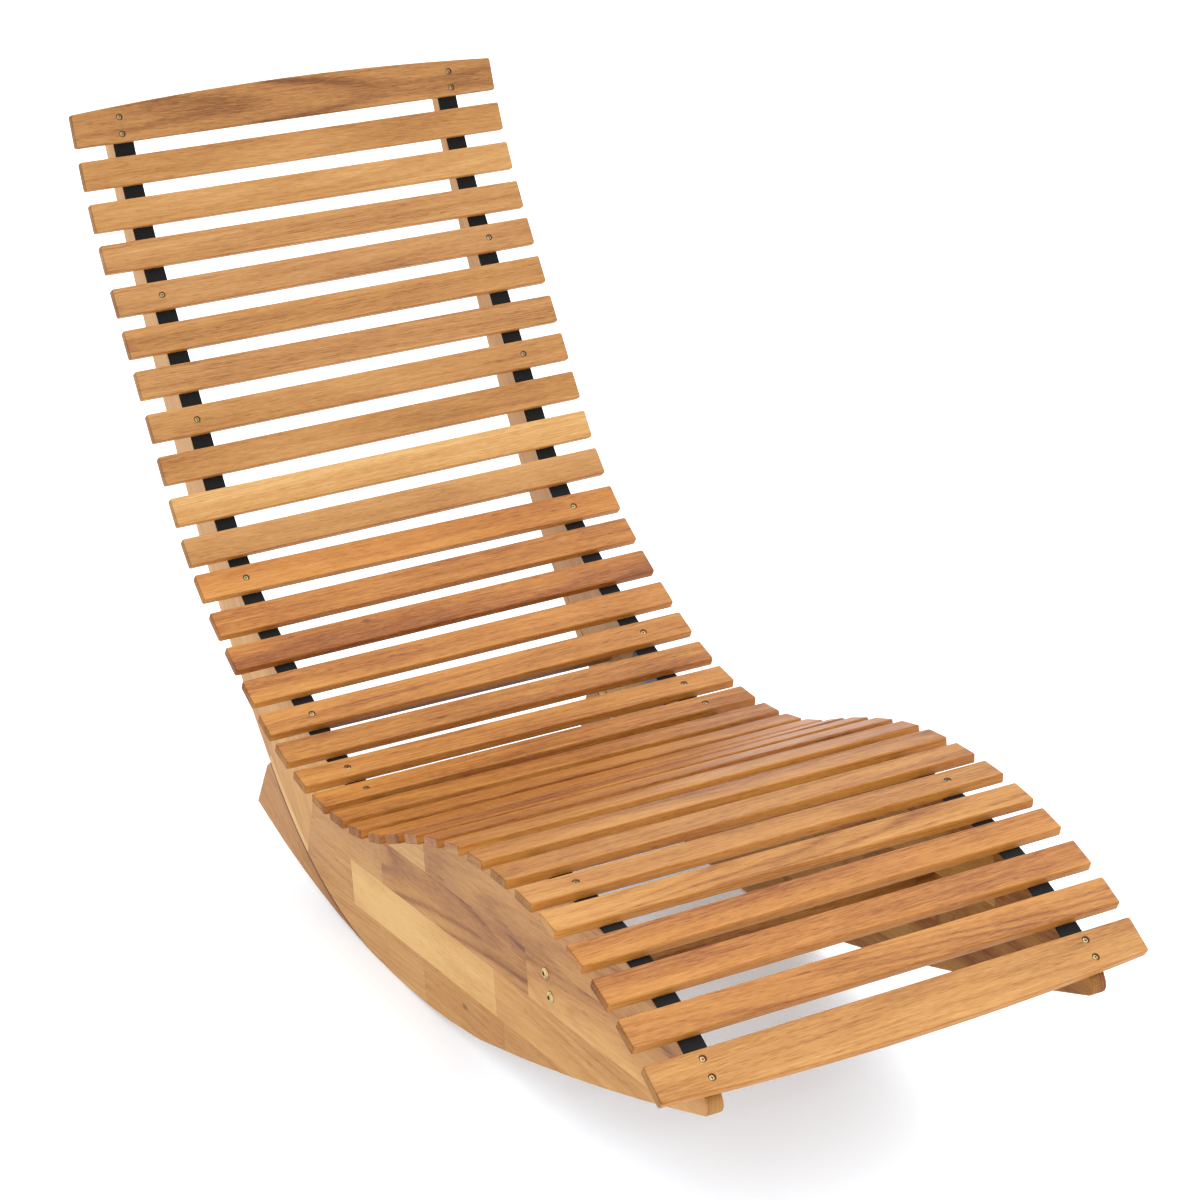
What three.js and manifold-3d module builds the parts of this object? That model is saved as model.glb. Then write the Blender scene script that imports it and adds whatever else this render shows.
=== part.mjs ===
// Rocking chaise lounge in oiled hardwood: two shaped side frames, each a back rail joined end to end
// with a rocker panel and a heel strip below, two stretchers between them, and a roll of slats on two
// webbing straps. Millimetres, +Z up, -Y towards the foot end and X across the seat.
import * as THREE from 'three';
import { mergeVertices } from 'three/addons/utils/BufferGeometryUtils.js';
import Module from 'manifold-3d';

const wasm = await Module();
wasm.setup();

// Slats
const slatCount = 34;
const slatLength = 603;
const slatWidth = 38;
const slatThickness = 12;
const slatGap = 18.2;
const slatCornerRadius = 3;
const slatRoundingRadius = 2;
const endSlatWidth = 44;
const endSlatBowHeight = 11;

// Slat screws: which slats are screwed down, counted from the head end, and the size of their holes
const screwedSlats = [1, 5, 8, 12, 16, 18, 19, 29, slatCount];
const screwHoleRadius = 2.4;
const screwSinkRadius = 4.5;
const screwSinkDepth = 3;
const endScrewSpacing = 22;

// Upper edge of a side frame: tangent arcs from the head end to the foot end, turns in degrees
const headRadius = 825;
const headTurn = 13.5;
const backStraightLength = 315;
const lumbarRadius = 385;
const lumbarTurn = 22;
const hipRadius = 1185;
const hipTurn = 8.5;
const seatRadius = 435;
const seatRearTurn = 23.5;
const seatFrontTurn = 28.5;
const thighRadius = 1025;
const thighTurn = 8;
const kneeRadius = 480;
const kneeTurn = 14;
const shinRadius = 840;
const shinTurn = 7.5;
const calfRadius = 515;
const calfTurn = 29;

// The lowest point of the seat stands straight above the lowest point of the rocker
const seatHollowHeight = 204;
const headOverhangLength = 16;
const footOverhangLength = 23;

// Rocker: its arc, the ends of the arc in degrees either side of the lowest point, and its facets
const rockerRadius = 1230;
const rockerFrontAngle = 15.25;
const rockerRearAngle = 15.4;
const rockerFacetAngle = 2.5;
const restAngle = 2.75;

// Side boards
const boardThickness = 20;
const boardRoundingRadius = 2.5;
const sideSpread = 473;
const seamOffset = 117;
const railHeadDepth = 37;
const railHeadCornerRadius = 10;
const toeDepth = 23.5;
const toeAngle = 31;
const toeCornerRadius = 12;
const undersideBulgeHeight = 8;
const undersideSteps = 7;

// Rear edge of the side frame, from the heel strip's tip up to the head end
const heelCurveRadius = 420;
const heelCurveTurn = 37.5;
const loinCurveRadius = 1430;
const loinCurveTurn = 14;
const heelTipHeight = 3;
const heelTipPlace = 2;
const heelStartAngle = 3.5;
const rearEdgeStepLength = 38;

// Heel strip
const heelThickness = 17;
const heelRoundingRadius = 0.8;
const heelJointLength = 306;
const heelTopLength = 19;
const heelTopAngle = 40;

// Webbing straps
const strapWidth = 28;
const strapThickness = 1.8;
const strapOffset = 3.5;
const strapEndInset = 3;

// Front stretcher, set on edge under the calves, and its bolts
const frontStretcherPlace = -494;
const frontStretcherHeight = 212;
const frontStretcherAngle = 65;
const frontStretcherWidth = 50;
const frontStretcherThickness = 20;
const boltSpacing = 27;
const boltRadius = 3;
const boltLength = 62;
const boltHeadRadius = 7;
const boltHeadHeight = 3.6;
const boltSocketRadius = 2.3;
const boltSocketDepth = 2.2;
const nutRadius = 5;
const nutLength = 16;
const nutInset = 38;

// Rear stretcher, dowelled between the back rails
const rearStretcherPlace = 229.5;
const rearStretcherHeight = 199.5;
const rearStretcherAngle = 125;
const rearStretcherWidth = 50;
const rearStretcherThickness = 20;
const stretcherRoundingRadius = 2.5;

// Dowels
const dowelRadius = 4;
const stretcherDowelLength = 32;
const stretcherDowelRailDepth = 12;
const stretcherDowelSpacing = 27;
const seamDowelLength = 40;
const seamDowelDepthShare = 0.6;

// Steel joining plate on the inner face of the seam
const plateLength = 90;
const plateHeight = 31;
const plateThickness = 2.5;
const plateDropHeight = 6;
const plateCornerRadius = 6;
const plateHoleRadius = 2.4;
const plateHoleLengthShare = 0.7;
const plateHoleHeightShare = 0.4;

// Clearances and cutting
const seatGap = 0.3;
const holeClearance = 0.3;
const overrun = 5;

// Facets of round forms
const roundSides = 16;
const smallRoundSides = 12;
const hexagonSides = 6;
const boltDomeSteps = 4;
const boardCornerSteps = 3;
const smallCornerSteps = 2;
const endSlatBowSteps = 10;
const plateHoleSteps = 10;
const shortFacetShare = 0.25;

// Colours
const slatTones = [0xcd9660, 0xc48a52, 0xd6a26c, 0xbd8148];
const panelWood = new THREE.MeshStandardMaterial({ color: 0xd2a071, roughness: 0.5, metalness: 0 });
const railWood = new THREE.MeshStandardMaterial({ color: 0xc9935f, roughness: 0.5, metalness: 0 });
const heelWood = new THREE.MeshStandardMaterial({ color: 0xc28f68, roughness: 0.55, metalness: 0 });
const stretcherWood = new THREE.MeshStandardMaterial({ color: 0xa9713f, roughness: 0.55, metalness: 0 });
const webbing = new THREE.MeshStandardMaterial({ color: 0x232626, roughness: 0.85, metalness: 0 });
const zinc = new THREE.MeshStandardMaterial({ color: 0xc9b26a, roughness: 0.35, metalness: 1 });
const steel = new THREE.MeshStandardMaterial({ color: 0x5b636b, roughness: 0.45, metalness: 1 });
const dowelWood = new THREE.MeshStandardMaterial({ color: 0xd9b88c, roughness: 0.7, metalness: 0 });

const radians = THREE.MathUtils.degToRad;
const lounge = new THREE.Group();

// Curves in the side plane. A heading is the slope of the line read from foot to head, and stations
// grow towards the foot end.

function arc(radius, turn) {
  return { length: radius * radians(Math.abs(turn)), turn: radians(turn) };
}

function straight(length) {
  return { length, turn: 0 };
}

function alongDirection(heading) {
  return new THREE.Vector2(Math.cos(heading), Math.sin(heading));
}

function upDirection(heading) {
  return new THREE.Vector2(-Math.sin(heading), Math.cos(heading));
}

// The end of a run of one curvature that leaves a point with a heading and goes towards the foot
function followArc(from, heading, curvature, length) {
  const turned = heading + curvature * length;
  if (curvature === 0) {
    return from.clone().addScaledVector(alongDirection(heading), -length);
  }
  const radius = 1 / curvature;
  return new THREE.Vector2(
    from.x - radius * (Math.sin(turned) - Math.sin(heading)),
    from.y + radius * (Math.cos(turned) - Math.cos(heading)),
  );
}

// A line of tangent zones with its own point and heading at each station
function traceRun(start, heading, zones) {
  const marks = [];
  let from = start;
  let station = 0;
  for (const zone of zones) {
    const curvature = zone.turn / zone.length;
    marks.push({ from, heading, curvature, station });
    from = followArc(from, heading, curvature, zone.length);
    heading += zone.turn;
    station += zone.length;
  }
  const markAt = (place) => marks.findLast((mark) => mark.station <= place) ?? marks[0];
  return {
    length: station,
    end: from,
    pointAt(place) {
      const mark = markAt(place);
      return followArc(mark.from, mark.heading, mark.curvature, place - mark.station);
    },
    headingAt(place) {
      const mark = markAt(place);
      return mark.heading + mark.curvature * (place - mark.station);
    },
  };
}

// Upper edge of the side frames

const rearZones = [
  arc(headRadius, -headTurn),
  straight(backStraightLength),
  arc(lumbarRadius, -lumbarTurn),
  arc(hipRadius, -hipTurn),
  arc(seatRadius, -seatRearTurn),
];
const frontZones = [
  arc(seatRadius, -seatFrontTurn),
  arc(thighRadius, thighTurn),
  arc(kneeRadius, kneeTurn),
  arc(shinRadius, shinTurn),
  arc(calfRadius, calfTurn),
];
const headHeading = radians(headTurn + lumbarTurn + hipTurn + seatRearTurn);
const hollowStation = rearZones.reduce((sum, zone) => sum + zone.length, 0);
const hollowPoint = new THREE.Vector2(0, seatHollowHeight);
const looseRun = traceRun(new THREE.Vector2(), headHeading, rearZones);
const headPoint = hollowPoint.clone().sub(looseRun.end);
const upperEdge = traceRun(headPoint, headHeading, [...rearZones, ...frontZones]);

// Slat places along the upper edge, each with the flat stretch of the edge that it lies on

function widthOfSlat(index) {
  return index === 0 || index === slatCount - 1 ? endSlatWidth : slatWidth;
}

const slatStations = [0];
for (let index = 1; index < slatCount; index += 1) {
  const step = (widthOfSlat(index - 1) + widthOfSlat(index)) / 2 + slatGap;
  slatStations.push(slatStations[index - 1] + step);
}
const headStation = -headOverhangLength;
const footStation = slatStations.at(-1) + footOverhangLength;

function seatOfSlat(index) {
  const station = slatStations[index];
  const half = widthOfSlat(index) / 2;
  const low = Math.max(station - half, headStation);
  const high = index === slatCount - 1 ? footStation : station + half;
  const headSide = upperEdge.pointAt(low);
  const footSide = upperEdge.pointAt(high);
  const chord = headSide.clone().sub(footSide);
  const heading = chord.angle() > Math.PI ? chord.angle() - 2 * Math.PI : chord.angle();
  const share = (station - low) / (high - low);
  return { low, high, heading, centre: headSide.clone().lerp(footSide, share) };
}

const slatSeats = slatStations.map((station, index) => seatOfSlat(index));
const edgeStations = slatSeats.flatMap((seat) => [seat.low, seat.high]);

function edgePoint(station, rise) {
  const up = upDirection(upperEdge.headingAt(station));
  return upperEdge.pointAt(station).addScaledVector(up, rise);
}

// Rocker arc, faceted so that one flat lies on the floor at rest

const rockerCentre = new THREE.Vector2(0, rockerRadius);

function rockerPoint(angle) {
  const reach = new THREE.Vector2(Math.sin(angle), -Math.cos(angle));
  return rockerCentre.clone().addScaledVector(reach, rockerRadius);
}

// Points from one angle to a larger one, with the facet corners between them
function rockerArc(fromAngle, toAngle) {
  const facet = radians(rockerFacetAngle);
  const firstCorner = facet / 2 - radians(restAngle);
  const angles = [fromAngle];
  const startStep = Math.ceil((fromAngle - firstCorner) / facet);
  for (let corner = firstCorner + startStep * facet; corner < toAngle; corner += facet) {
    const clear = Math.min(corner - fromAngle, toAngle - corner);
    if (clear > facet * shortFacetShare) angles.push(corner);
  }
  angles.push(toAngle);
  return angles.map(rockerPoint);
}

// Rear edge: from the heel strip's tip up two arcs, and on to the head end by the one arc that meets it

const tipAngle = Math.asin(heelTipPlace / rockerRadius);
const tipPoint = rockerPoint(tipAngle).add(new THREE.Vector2(0, heelTipHeight));
const railHeadRear = edgePoint(headStation, -railHeadDepth);

function climbArc(from, heading, radius, turn) {
  const side = upDirection(heading);
  const centre = from.clone().addScaledVector(side, radius);
  const turned = heading + turn;
  return { centre, radius, from: heading, to: turned, end: pointOnClimb(centre, radius, turned) };
}

function pointOnClimb(centre, radius, heading) {
  return centre.clone().addScaledVector(upDirection(heading), -radius);
}

function climbTo(from, heading, target) {
  const chord = target.clone().sub(from);
  const turn = 2 * (chord.angle() - heading);
  const radius = chord.length() / (2 * Math.sin(turn / 2));
  return climbArc(from, heading, radius, turn);
}

const heelCurve = climbArc(tipPoint, radians(heelStartAngle), heelCurveRadius, radians(heelCurveTurn));
const loinCurve = climbArc(heelCurve.end, heelCurve.to, loinCurveRadius, radians(loinCurveTurn));
const railCurve = climbTo(loinCurve.end, loinCurve.to, railHeadRear);
const rearCurves = [heelCurve, loinCurve, railCurve];

// Points of the rear edge between two distances from the tip, moved outwards by a clearance
function rearEdge(fromLength, toLength, outward = 0) {
  const points = [];
  let travelled = 0;
  for (const curve of rearCurves) {
    const length = curve.radius * (curve.to - curve.from);
    const low = Math.max(fromLength - travelled, 0);
    const high = Math.min(toLength - travelled, length);
    if (high > low) {
      const steps = Math.ceil((high - low) / rearEdgeStepLength);
      for (let step = points.length ? 1 : 0; step <= steps; step += 1) {
        const heading = curve.from + (low + (high - low) * step / steps) / curve.radius;
        points.push(pointOnClimb(curve.centre, curve.radius + outward, heading));
      }
    }
    travelled += length;
  }
  return points;
}

const rearLength = rearCurves.reduce((sum, curve) => sum + curve.radius * (curve.to - curve.from), 0);

// Outlines of the side boards

function chordArc(from, to, bulge, steps) {
  const chord = to.clone().sub(from);
  const outward = new THREE.Vector2(chord.y, -chord.x).normalize();
  const points = [];
  for (let step = 1; step < steps; step += 1) {
    const share = step / steps;
    const rise = bulge * 4 * share * (1 - share);
    points.push(from.clone().lerp(to, share).addScaledVector(outward, rise));
  }
  return points;
}

// Replaces one corner of a closed outline by an arc
function roundCorner(points, corner, radius, steps) {
  const count = points.length;
  const here = points[corner];
  const before = points[(corner + count - 1) % count].clone().sub(here).normalize();
  const after = points[(corner + 1) % count].clone().sub(here).normalize();
  const half = Math.acos(before.dot(after)) / 2;
  const bisector = before.clone().add(after).normalize();
  const centre = here.clone().addScaledVector(bisector, radius / Math.sin(half));
  const tangent = radius / Math.tan(half);
  const start = here.clone().addScaledVector(before, tangent).sub(centre);
  const end = here.clone().addScaledVector(after, tangent).sub(centre);
  const sweep = Math.atan2(start.cross(end), start.dot(end));
  const round = [];
  for (let step = 0; step <= steps; step += 1) {
    const turned = start.clone().rotateAround(new THREE.Vector2(), sweep * step / steps);
    round.push(centre.clone().add(turned));
  }
  return [...points.slice(0, corner), ...round, ...points.slice(corner + 1)];
}

// A rectangle about the origin with rounded corners, its upper side bowed outwards where a bow is given
function roundedRectangle(length, width, radius, steps, bow = 0) {
  const halfLength = length / 2;
  const half = width / 2;
  const upperRight = new THREE.Vector2(halfLength, half);
  const upperLeft = new THREE.Vector2(-halfLength, half);
  const outline = [
    new THREE.Vector2(-halfLength, -half),
    new THREE.Vector2(halfLength, -half),
    upperRight,
    ...(bow ? chordArc(upperRight, upperLeft, bow, endSlatBowSteps) : []),
    upperLeft,
  ];
  const corners = [outline.length - 1, 2, 1, 0];
  return corners.reduce((points, corner) => roundCorner(points, corner, radius, steps), outline);
}

function sideOutline() {
  const top = edgeStations.map((station) => edgePoint(station, 0));
  const toeTop = top.at(-1);
  const toeDown = alongDirection(radians(-90 - toeAngle));
  const toeBottom = toeTop.clone().addScaledVector(toeDown, toeDepth);
  const rockerFront = -radians(rockerFrontAngle);
  const rockerCorner = rockerPoint(rockerFront);
  const underside = chordArc(toeBottom, rockerCorner, undersideBulgeHeight, undersideSteps);
  const rocker = rockerArc(rockerFront, tipAngle);
  const rear = rearEdge(0, rearLength);
  const toeIndex = top.length;
  const outline = [...top, toeBottom, ...underside, ...rocker, ...rear];
  const headRounded = roundCorner(outline, outline.length - 1, railHeadCornerRadius, boardCornerSteps);
  return roundCorner(headRounded, toeIndex, toeCornerRadius, boardCornerSteps);
}

function heelOutline() {
  const joint = rearEdge(0, heelJointLength, seatGap);
  const top = joint.at(-1);
  const shoulder = top.clone().addScaledVector(alongDirection(radians(-heelTopAngle)), heelTopLength);
  const bottom = rockerArc(tipAngle, radians(rockerRearAngle));
  return [...joint, shoulder, ...bottom.reverse()];
}

// Solids

const toSidePlane = new THREE.Matrix4().makeBasis(
  new THREE.Vector3(0, 1, 0),
  new THREE.Vector3(0, 0, 1),
  new THREE.Vector3(1, 0, 0),
);

// A board of an outline, with its edges rounded within its thickness, centred on its own middle plane
function roundedBoard(outline, thickness, rounding, segments) {
  const geometry = new THREE.ExtrudeGeometry(new THREE.Shape(outline), {
    depth: thickness - 2 * rounding,
    bevelEnabled: true,
    bevelThickness: rounding,
    bevelSize: rounding,
    bevelOffset: -rounding,
    bevelSegments: segments,
    steps: 1,
  });
  return geometry.translate(0, 0, rounding - thickness / 2);
}

function solidOf(geometry) {
  const bare = geometry.clone();
  bare.deleteAttribute('normal');
  bare.deleteAttribute('uv');
  const merged = mergeVertices(bare);
  return new wasm.Manifold(new wasm.Mesh({
    numProp: 3,
    vertProperties: merged.attributes.position.array,
    triVerts: Uint32Array.from(merged.index.array),
  }));
}

function geometryOf(solid) {
  const { vertProperties, triVerts } = solid.getMesh();
  const geometry = new THREE.BufferGeometry();
  geometry.setAttribute('position', new THREE.BufferAttribute(vertProperties, 3));
  geometry.setIndex(new THREE.BufferAttribute(triVerts, 1));
  const flat = geometry.toNonIndexed();
  flat.computeVertexNormals();
  return flat;
}

function cut(geometry, tools) {
  return geometryOf(tools.reduce((solid, tool) => solid.subtract(solidOf(tool)), solidOf(geometry)));
}

function keepInside(geometry, tool) {
  return geometryOf(solidOf(geometry).intersect(solidOf(tool)));
}

// A round bar along X, centred on a point
function barAcross(radius, length, centre, sides = roundSides) {
  const geometry = new THREE.CylinderGeometry(radius, radius, length, sides);
  return geometry.rotateZ(Math.PI / 2).translate(centre.x, centre.y, centre.z);
}

function addMesh(name, geometry, material) {
  const mesh = new THREE.Mesh(geometry, material);
  mesh.name = name;
  lounge.add(mesh);
  return mesh;
}

function eachSide(build) {
  build(-1, 'left');
  build(1, 'right');
}

// Slats

// The first and the last slat are wider, with their outer edge bowed
function slatBlank(index) {
  const isEnd = index === 0 || index === slatCount - 1;
  const bow = isEnd ? endSlatBowHeight : 0;
  const outline = roundedRectangle(
    slatLength,
    widthOfSlat(index),
    slatCornerRadius,
    boardCornerSteps,
    bow,
  );
  const blank = roundedBoard(outline, slatThickness, slatRoundingRadius, 1);
  return index === 0 ? blank : blank.rotateZ(Math.PI);
}

function screwPlaces(index) {
  const row = index === 0 || index === slatCount - 1
    ? [-endScrewSpacing / 2, endScrewSpacing / 2]
    : [0];
  return [-1, 1].flatMap((side) => row.map((y) => new THREE.Vector2(side * sideSpread / 2, y)));
}

function sunkHole(place) {
  const top = slatThickness / 2;
  const sinkBottom = top - screwSinkDepth;
  const flare = screwSinkRadius + overrun * (screwSinkRadius - screwHoleRadius) / screwSinkDepth;
  const profile = [
    new THREE.Vector2(0, -top - overrun),
    new THREE.Vector2(screwHoleRadius, -top - overrun),
    new THREE.Vector2(screwHoleRadius, sinkBottom),
    new THREE.Vector2(flare, top + overrun),
    new THREE.Vector2(0, top + overrun),
  ];
  return new THREE.LatheGeometry(profile, smallRoundSides).rotateX(Math.PI / 2)
    .translate(place.x, place.y, 0);
}

function addSlats() {
  const rise = seatGap + strapThickness + seatGap + slatThickness / 2;
  slatSeats.forEach((seat, index) => {
    const number = index + 1;
    const blank = slatBlank(index);
    const screwed = screwedSlats.includes(number);
    const geometry = screwed ? cut(blank, screwPlaces(index).map(sunkHole)) : blank;
    const material = new THREE.MeshStandardMaterial({
      color: slatTones[index % slatTones.length],
      roughness: 0.5,
      metalness: 0,
    });
    const slat = addMesh(`slat_${String(number).padStart(2, '0')}`, geometry, material);
    const centre = seat.centre.clone().addScaledVector(upDirection(seat.heading), rise);
    slat.position.set(0, centre.x, centre.y);
    slat.rotation.x = seat.heading;
  });
}

// Side frames

const seamStation = hollowStation - seamOffset;
const seamHeading = upperEdge.headingAt(seamStation);
const seamTop = upperEdge.pointAt(seamStation);
const seamDepth = seamTop.distanceTo(seamFoot());

// Where the seam meets the rear edge
function seamFoot() {
  const down = upDirection(seamHeading).negate();
  const along = alongDirection(seamHeading);
  const points = rearEdge(0, rearLength);
  for (let index = 1; index < points.length; index += 1) {
    const before = points[index - 1].clone().sub(seamTop).dot(along);
    const after = points[index].clone().sub(seamTop).dot(along);
    if (before <= 0 && after > 0) {
      const share = before / (before - after);
      const meet = points[index - 1].clone().lerp(points[index], share);
      return seamTop.clone().addScaledVector(down, meet.sub(seamTop).dot(down));
    }
  }
  return seamTop.clone().addScaledVector(down, railHeadDepth);
}

// A place given along and below the upper edge at the seam
function fromSeam(along, below) {
  return seamTop.clone()
    .addScaledVector(alongDirection(seamHeading), along)
    .addScaledVector(upDirection(seamHeading), -below);
}

// Everything on one side of the seam, short of it by half the joint's clearance
function halfSpace(direction) {
  const reach = upperEdge.length * 2;
  const box = new THREE.BoxGeometry(boardThickness + 2 * overrun, reach, reach);
  box.translate(0, direction * (reach + seatGap) / 2, 0);
  return box.rotateX(seamHeading).translate(0, seamTop.x, seamTop.y);
}

const frontStretcherHeading = radians(frontStretcherAngle);
const frontStretcherCentre = new THREE.Vector2(frontStretcherPlace, frontStretcherHeight);
const rearStretcherHeading = radians(rearStretcherAngle);
const rearStretcherCentre = new THREE.Vector2(rearStretcherPlace, rearStretcherHeight);
const stretcherLength = sideSpread - boardThickness - 2 * seatGap;

function rowOfTwo(centre, heading, spacing) {
  const along = alongDirection(heading);
  return [1, -1].map((end) => centre.clone().addScaledVector(along, end * spacing / 2));
}

const boltPlaces = rowOfTwo(frontStretcherCentre, frontStretcherHeading, boltSpacing);
const stretcherDowelPlaces = rowOfTwo(rearStretcherCentre, rearStretcherHeading, stretcherDowelSpacing);
const seamDowelPlace = fromSeam(0, seamDepth * seamDowelDepthShare);

function boltHoles() {
  const length = boardThickness + 2 * overrun;
  return boltPlaces.map((place) => {
    const centre = new THREE.Vector3(0, place.x, place.y);
    return barAcross(boltRadius + holeClearance, length, centre, smallRoundSides);
  });
}

function blindDowelHoles(side) {
  const depth = stretcherDowelRailDepth + holeClearance;
  const length = depth + overrun;
  const inner = -side * (boardThickness / 2);
  const middle = inner + side * (depth - overrun) / 2;
  return stretcherDowelPlaces.map((place) => {
    const centre = new THREE.Vector3(middle, place.x, place.y);
    return barAcross(dowelRadius + holeClearance, length, centre, smallRoundSides);
  });
}

function seamDowelBar(clearance) {
  const radius = dowelRadius + clearance;
  const length = seamDowelLength + 2 * clearance;
  const bar = new THREE.CylinderGeometry(radius, radius, length, smallRoundSides);
  return bar.rotateX(seamHeading).translate(0, seamDowelPlace.x, seamDowelPlace.y);
}

function addSideFrame(side, sideName) {
  const blank = roundedBoard(sideOutline(), boardThickness, boardRoundingRadius, 2);
  blank.applyMatrix4(toSidePlane);
  const heelBoard = roundedBoard(heelOutline(), heelThickness, heelRoundingRadius, 1);
  heelBoard.applyMatrix4(toSidePlane);
  const x = side * sideSpread / 2;
  const seamHole = seamDowelBar(holeClearance);
  const rail = cut(keepInside(blank, halfSpace(1)), [...blindDowelHoles(side), seamHole]);
  const panel = cut(keepInside(blank, halfSpace(-1)), [...boltHoles(), seamHole]);
  addMesh(`back_rail_${sideName}`, rail, railWood).position.x = x;
  addMesh(`rocker_panel_${sideName}`, panel, panelWood).position.x = x;
  addMesh(`heel_strip_${sideName}`, heelBoard, heelWood).position.x = x;
  addMesh(`seam_dowel_${sideName}`, seamDowelBar(0), dowelWood).position.x = x;
}

// Webbing straps, lying on the upper edges below the slats

function strapOutline() {
  const low = edgeStations.map((station) => edgePoint(station, seatGap));
  const high = edgeStations.map((station) => edgePoint(station, seatGap + strapThickness));
  for (const line of [low, high]) {
    const last = line.length - 1;
    line[0].add(line[1].clone().sub(line[0]).setLength(strapEndInset));
    line[last].add(line[last - 1].clone().sub(line[last]).setLength(strapEndInset));
  }
  return [...low, ...high.reverse()];
}

function addStrap(side, sideName) {
  const settings = { depth: strapWidth, bevelEnabled: false, steps: 1 };
  const ribbon = new THREE.ExtrudeGeometry(new THREE.Shape(strapOutline()), settings);
  ribbon.translate(0, 0, -strapWidth / 2).applyMatrix4(toSidePlane);
  addMesh(`strap_${sideName}`, ribbon, webbing).position.x = side * (sideSpread / 2 - strapOffset);
}

// Stretchers

function stretcherBlank(width, thickness) {
  const section = roundedRectangle(width, thickness, stretcherRoundingRadius, smallCornerSteps);
  const settings = { depth: stretcherLength, bevelEnabled: false, steps: 1 };
  const bar = new THREE.ExtrudeGeometry(new THREE.Shape(section), settings);
  return bar.translate(0, 0, -stretcherLength / 2).applyMatrix4(toSidePlane);
}

const boltHeadFace = sideSpread / 2 + boardThickness / 2 + seatGap;
const boltTip = boltHeadFace - boltLength;
const nutPlace = sideSpread / 2 - boardThickness / 2 - nutInset;

function frontStretcherCuts() {
  return [1, -1].flatMap((end) => [1, -1].flatMap((side) => {
    const shift = end * boltSpacing / 2;
    const boltRoom = stretcherLength / 2 - boltTip + holeClearance + overrun;
    const boltMiddle = side * (stretcherLength / 2 + overrun - boltRoom / 2);
    const boltCentre = new THREE.Vector3(boltMiddle, shift, 0);
    const boltHole = barAcross(boltRadius + holeClearance, boltRoom, boltCentre, smallRoundSides);
    const nutRoom = nutRadius + holeClearance;
    const nutHoleLength = frontStretcherThickness / 2 + nutLength / 2 + holeClearance + overrun;
    const nutHole = new THREE.CylinderGeometry(nutRoom, nutRoom, nutHoleLength, smallRoundSides);
    nutHole.rotateX(Math.PI / 2);
    nutHole.translate(side * nutPlace, shift, nutLength / 2 + holeClearance - nutHoleLength / 2);
    return [boltHole, nutHole];
  }));
}

function rearStretcherCuts() {
  const depth = stretcherDowelLength - stretcherDowelRailDepth + holeClearance;
  return [1, -1].flatMap((end) => [1, -1].map((side) => {
    const middle = side * (stretcherLength / 2 + (overrun - depth) / 2);
    const centre = new THREE.Vector3(middle, end * stretcherDowelSpacing / 2, 0);
    return barAcross(dowelRadius + holeClearance, depth + overrun, centre, smallRoundSides);
  }));
}

function placeStretcher(mesh, centre, heading) {
  mesh.position.set(0, centre.x, centre.y);
  mesh.rotation.x = heading;
}

function addStretchers() {
  const front = cut(stretcherBlank(frontStretcherWidth, frontStretcherThickness), frontStretcherCuts());
  const rear = cut(stretcherBlank(rearStretcherWidth, rearStretcherThickness), rearStretcherCuts());
  const frontMesh = addMesh('front_stretcher', front, stretcherWood);
  const rearMesh = addMesh('rear_stretcher', rear, stretcherWood);
  placeStretcher(frontMesh, frontStretcherCentre, frontStretcherHeading);
  placeStretcher(rearMesh, rearStretcherCentre, rearStretcherHeading);
}

// Bolts with a domed head and a hexagon socket, turned about their own axis

function boltGeometry() {
  const profile = [
    new THREE.Vector2(0, -boltLength),
    new THREE.Vector2(boltRadius, -boltLength),
    new THREE.Vector2(boltRadius, 0),
    new THREE.Vector2(boltHeadRadius, 0),
  ];
  for (let step = 1; step <= boltDomeSteps; step += 1) {
    const rise = Math.PI / 2 * step / boltDomeSteps;
    profile.push(new THREE.Vector2(boltHeadRadius * Math.cos(rise), boltHeadHeight * Math.sin(rise)));
  }
  profile[profile.length - 1].x = 0;
  const blank = new THREE.LatheGeometry(profile, roundSides);
  const socketHeight = boltSocketDepth + overrun;
  const socket = new THREE.CylinderGeometry(
    boltSocketRadius,
    boltSocketRadius,
    socketHeight,
    hexagonSides,
  );
  socket.translate(0, boltHeadHeight - boltSocketDepth + socketHeight / 2, 0);
  return cut(blank, [socket]);
}

function nutGeometry() {
  const barrel = new THREE.CylinderGeometry(nutRadius, nutRadius, nutLength, smallRoundSides);
  barrel.rotateX(Math.PI / 2);
  const boreLength = 2 * (nutRadius + overrun);
  const bore = barAcross(boltRadius + holeClearance, boreLength, new THREE.Vector3(), smallRoundSides);
  return cut(barrel, [bore]);
}

function addBoltsAndNuts(side, sideName) {
  boltPlaces.forEach((place, index) => {
    const level = index === 0 ? 'upper' : 'lower';
    const bolt = addMesh(`front_bolt_${sideName}_${level}`, boltGeometry(), zinc);
    bolt.position.set(side * boltHeadFace, place.x, place.y);
    bolt.rotation.z = -side * Math.PI / 2;
    const nut = addMesh(`barrel_nut_${sideName}_${level}`, nutGeometry(), steel);
    nut.position.set(side * nutPlace, place.x, place.y);
    nut.rotation.x = frontStretcherHeading;
  });
}

function addStretcherDowels(side, sideName) {
  const inner = sideSpread / 2 - boardThickness / 2;
  const middle = side * (inner + stretcherDowelRailDepth - stretcherDowelLength / 2);
  stretcherDowelPlaces.forEach((place, index) => {
    const level = index === 0 ? 'upper' : 'lower';
    const dowel = barAcross(dowelRadius, stretcherDowelLength, new THREE.Vector3(), smallRoundSides);
    addMesh(`rear_dowel_${sideName}_${level}`, dowel, dowelWood).position.set(middle, place.x, place.y);
  });
}

// Joining plates on the inner faces, across the seams

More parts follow.
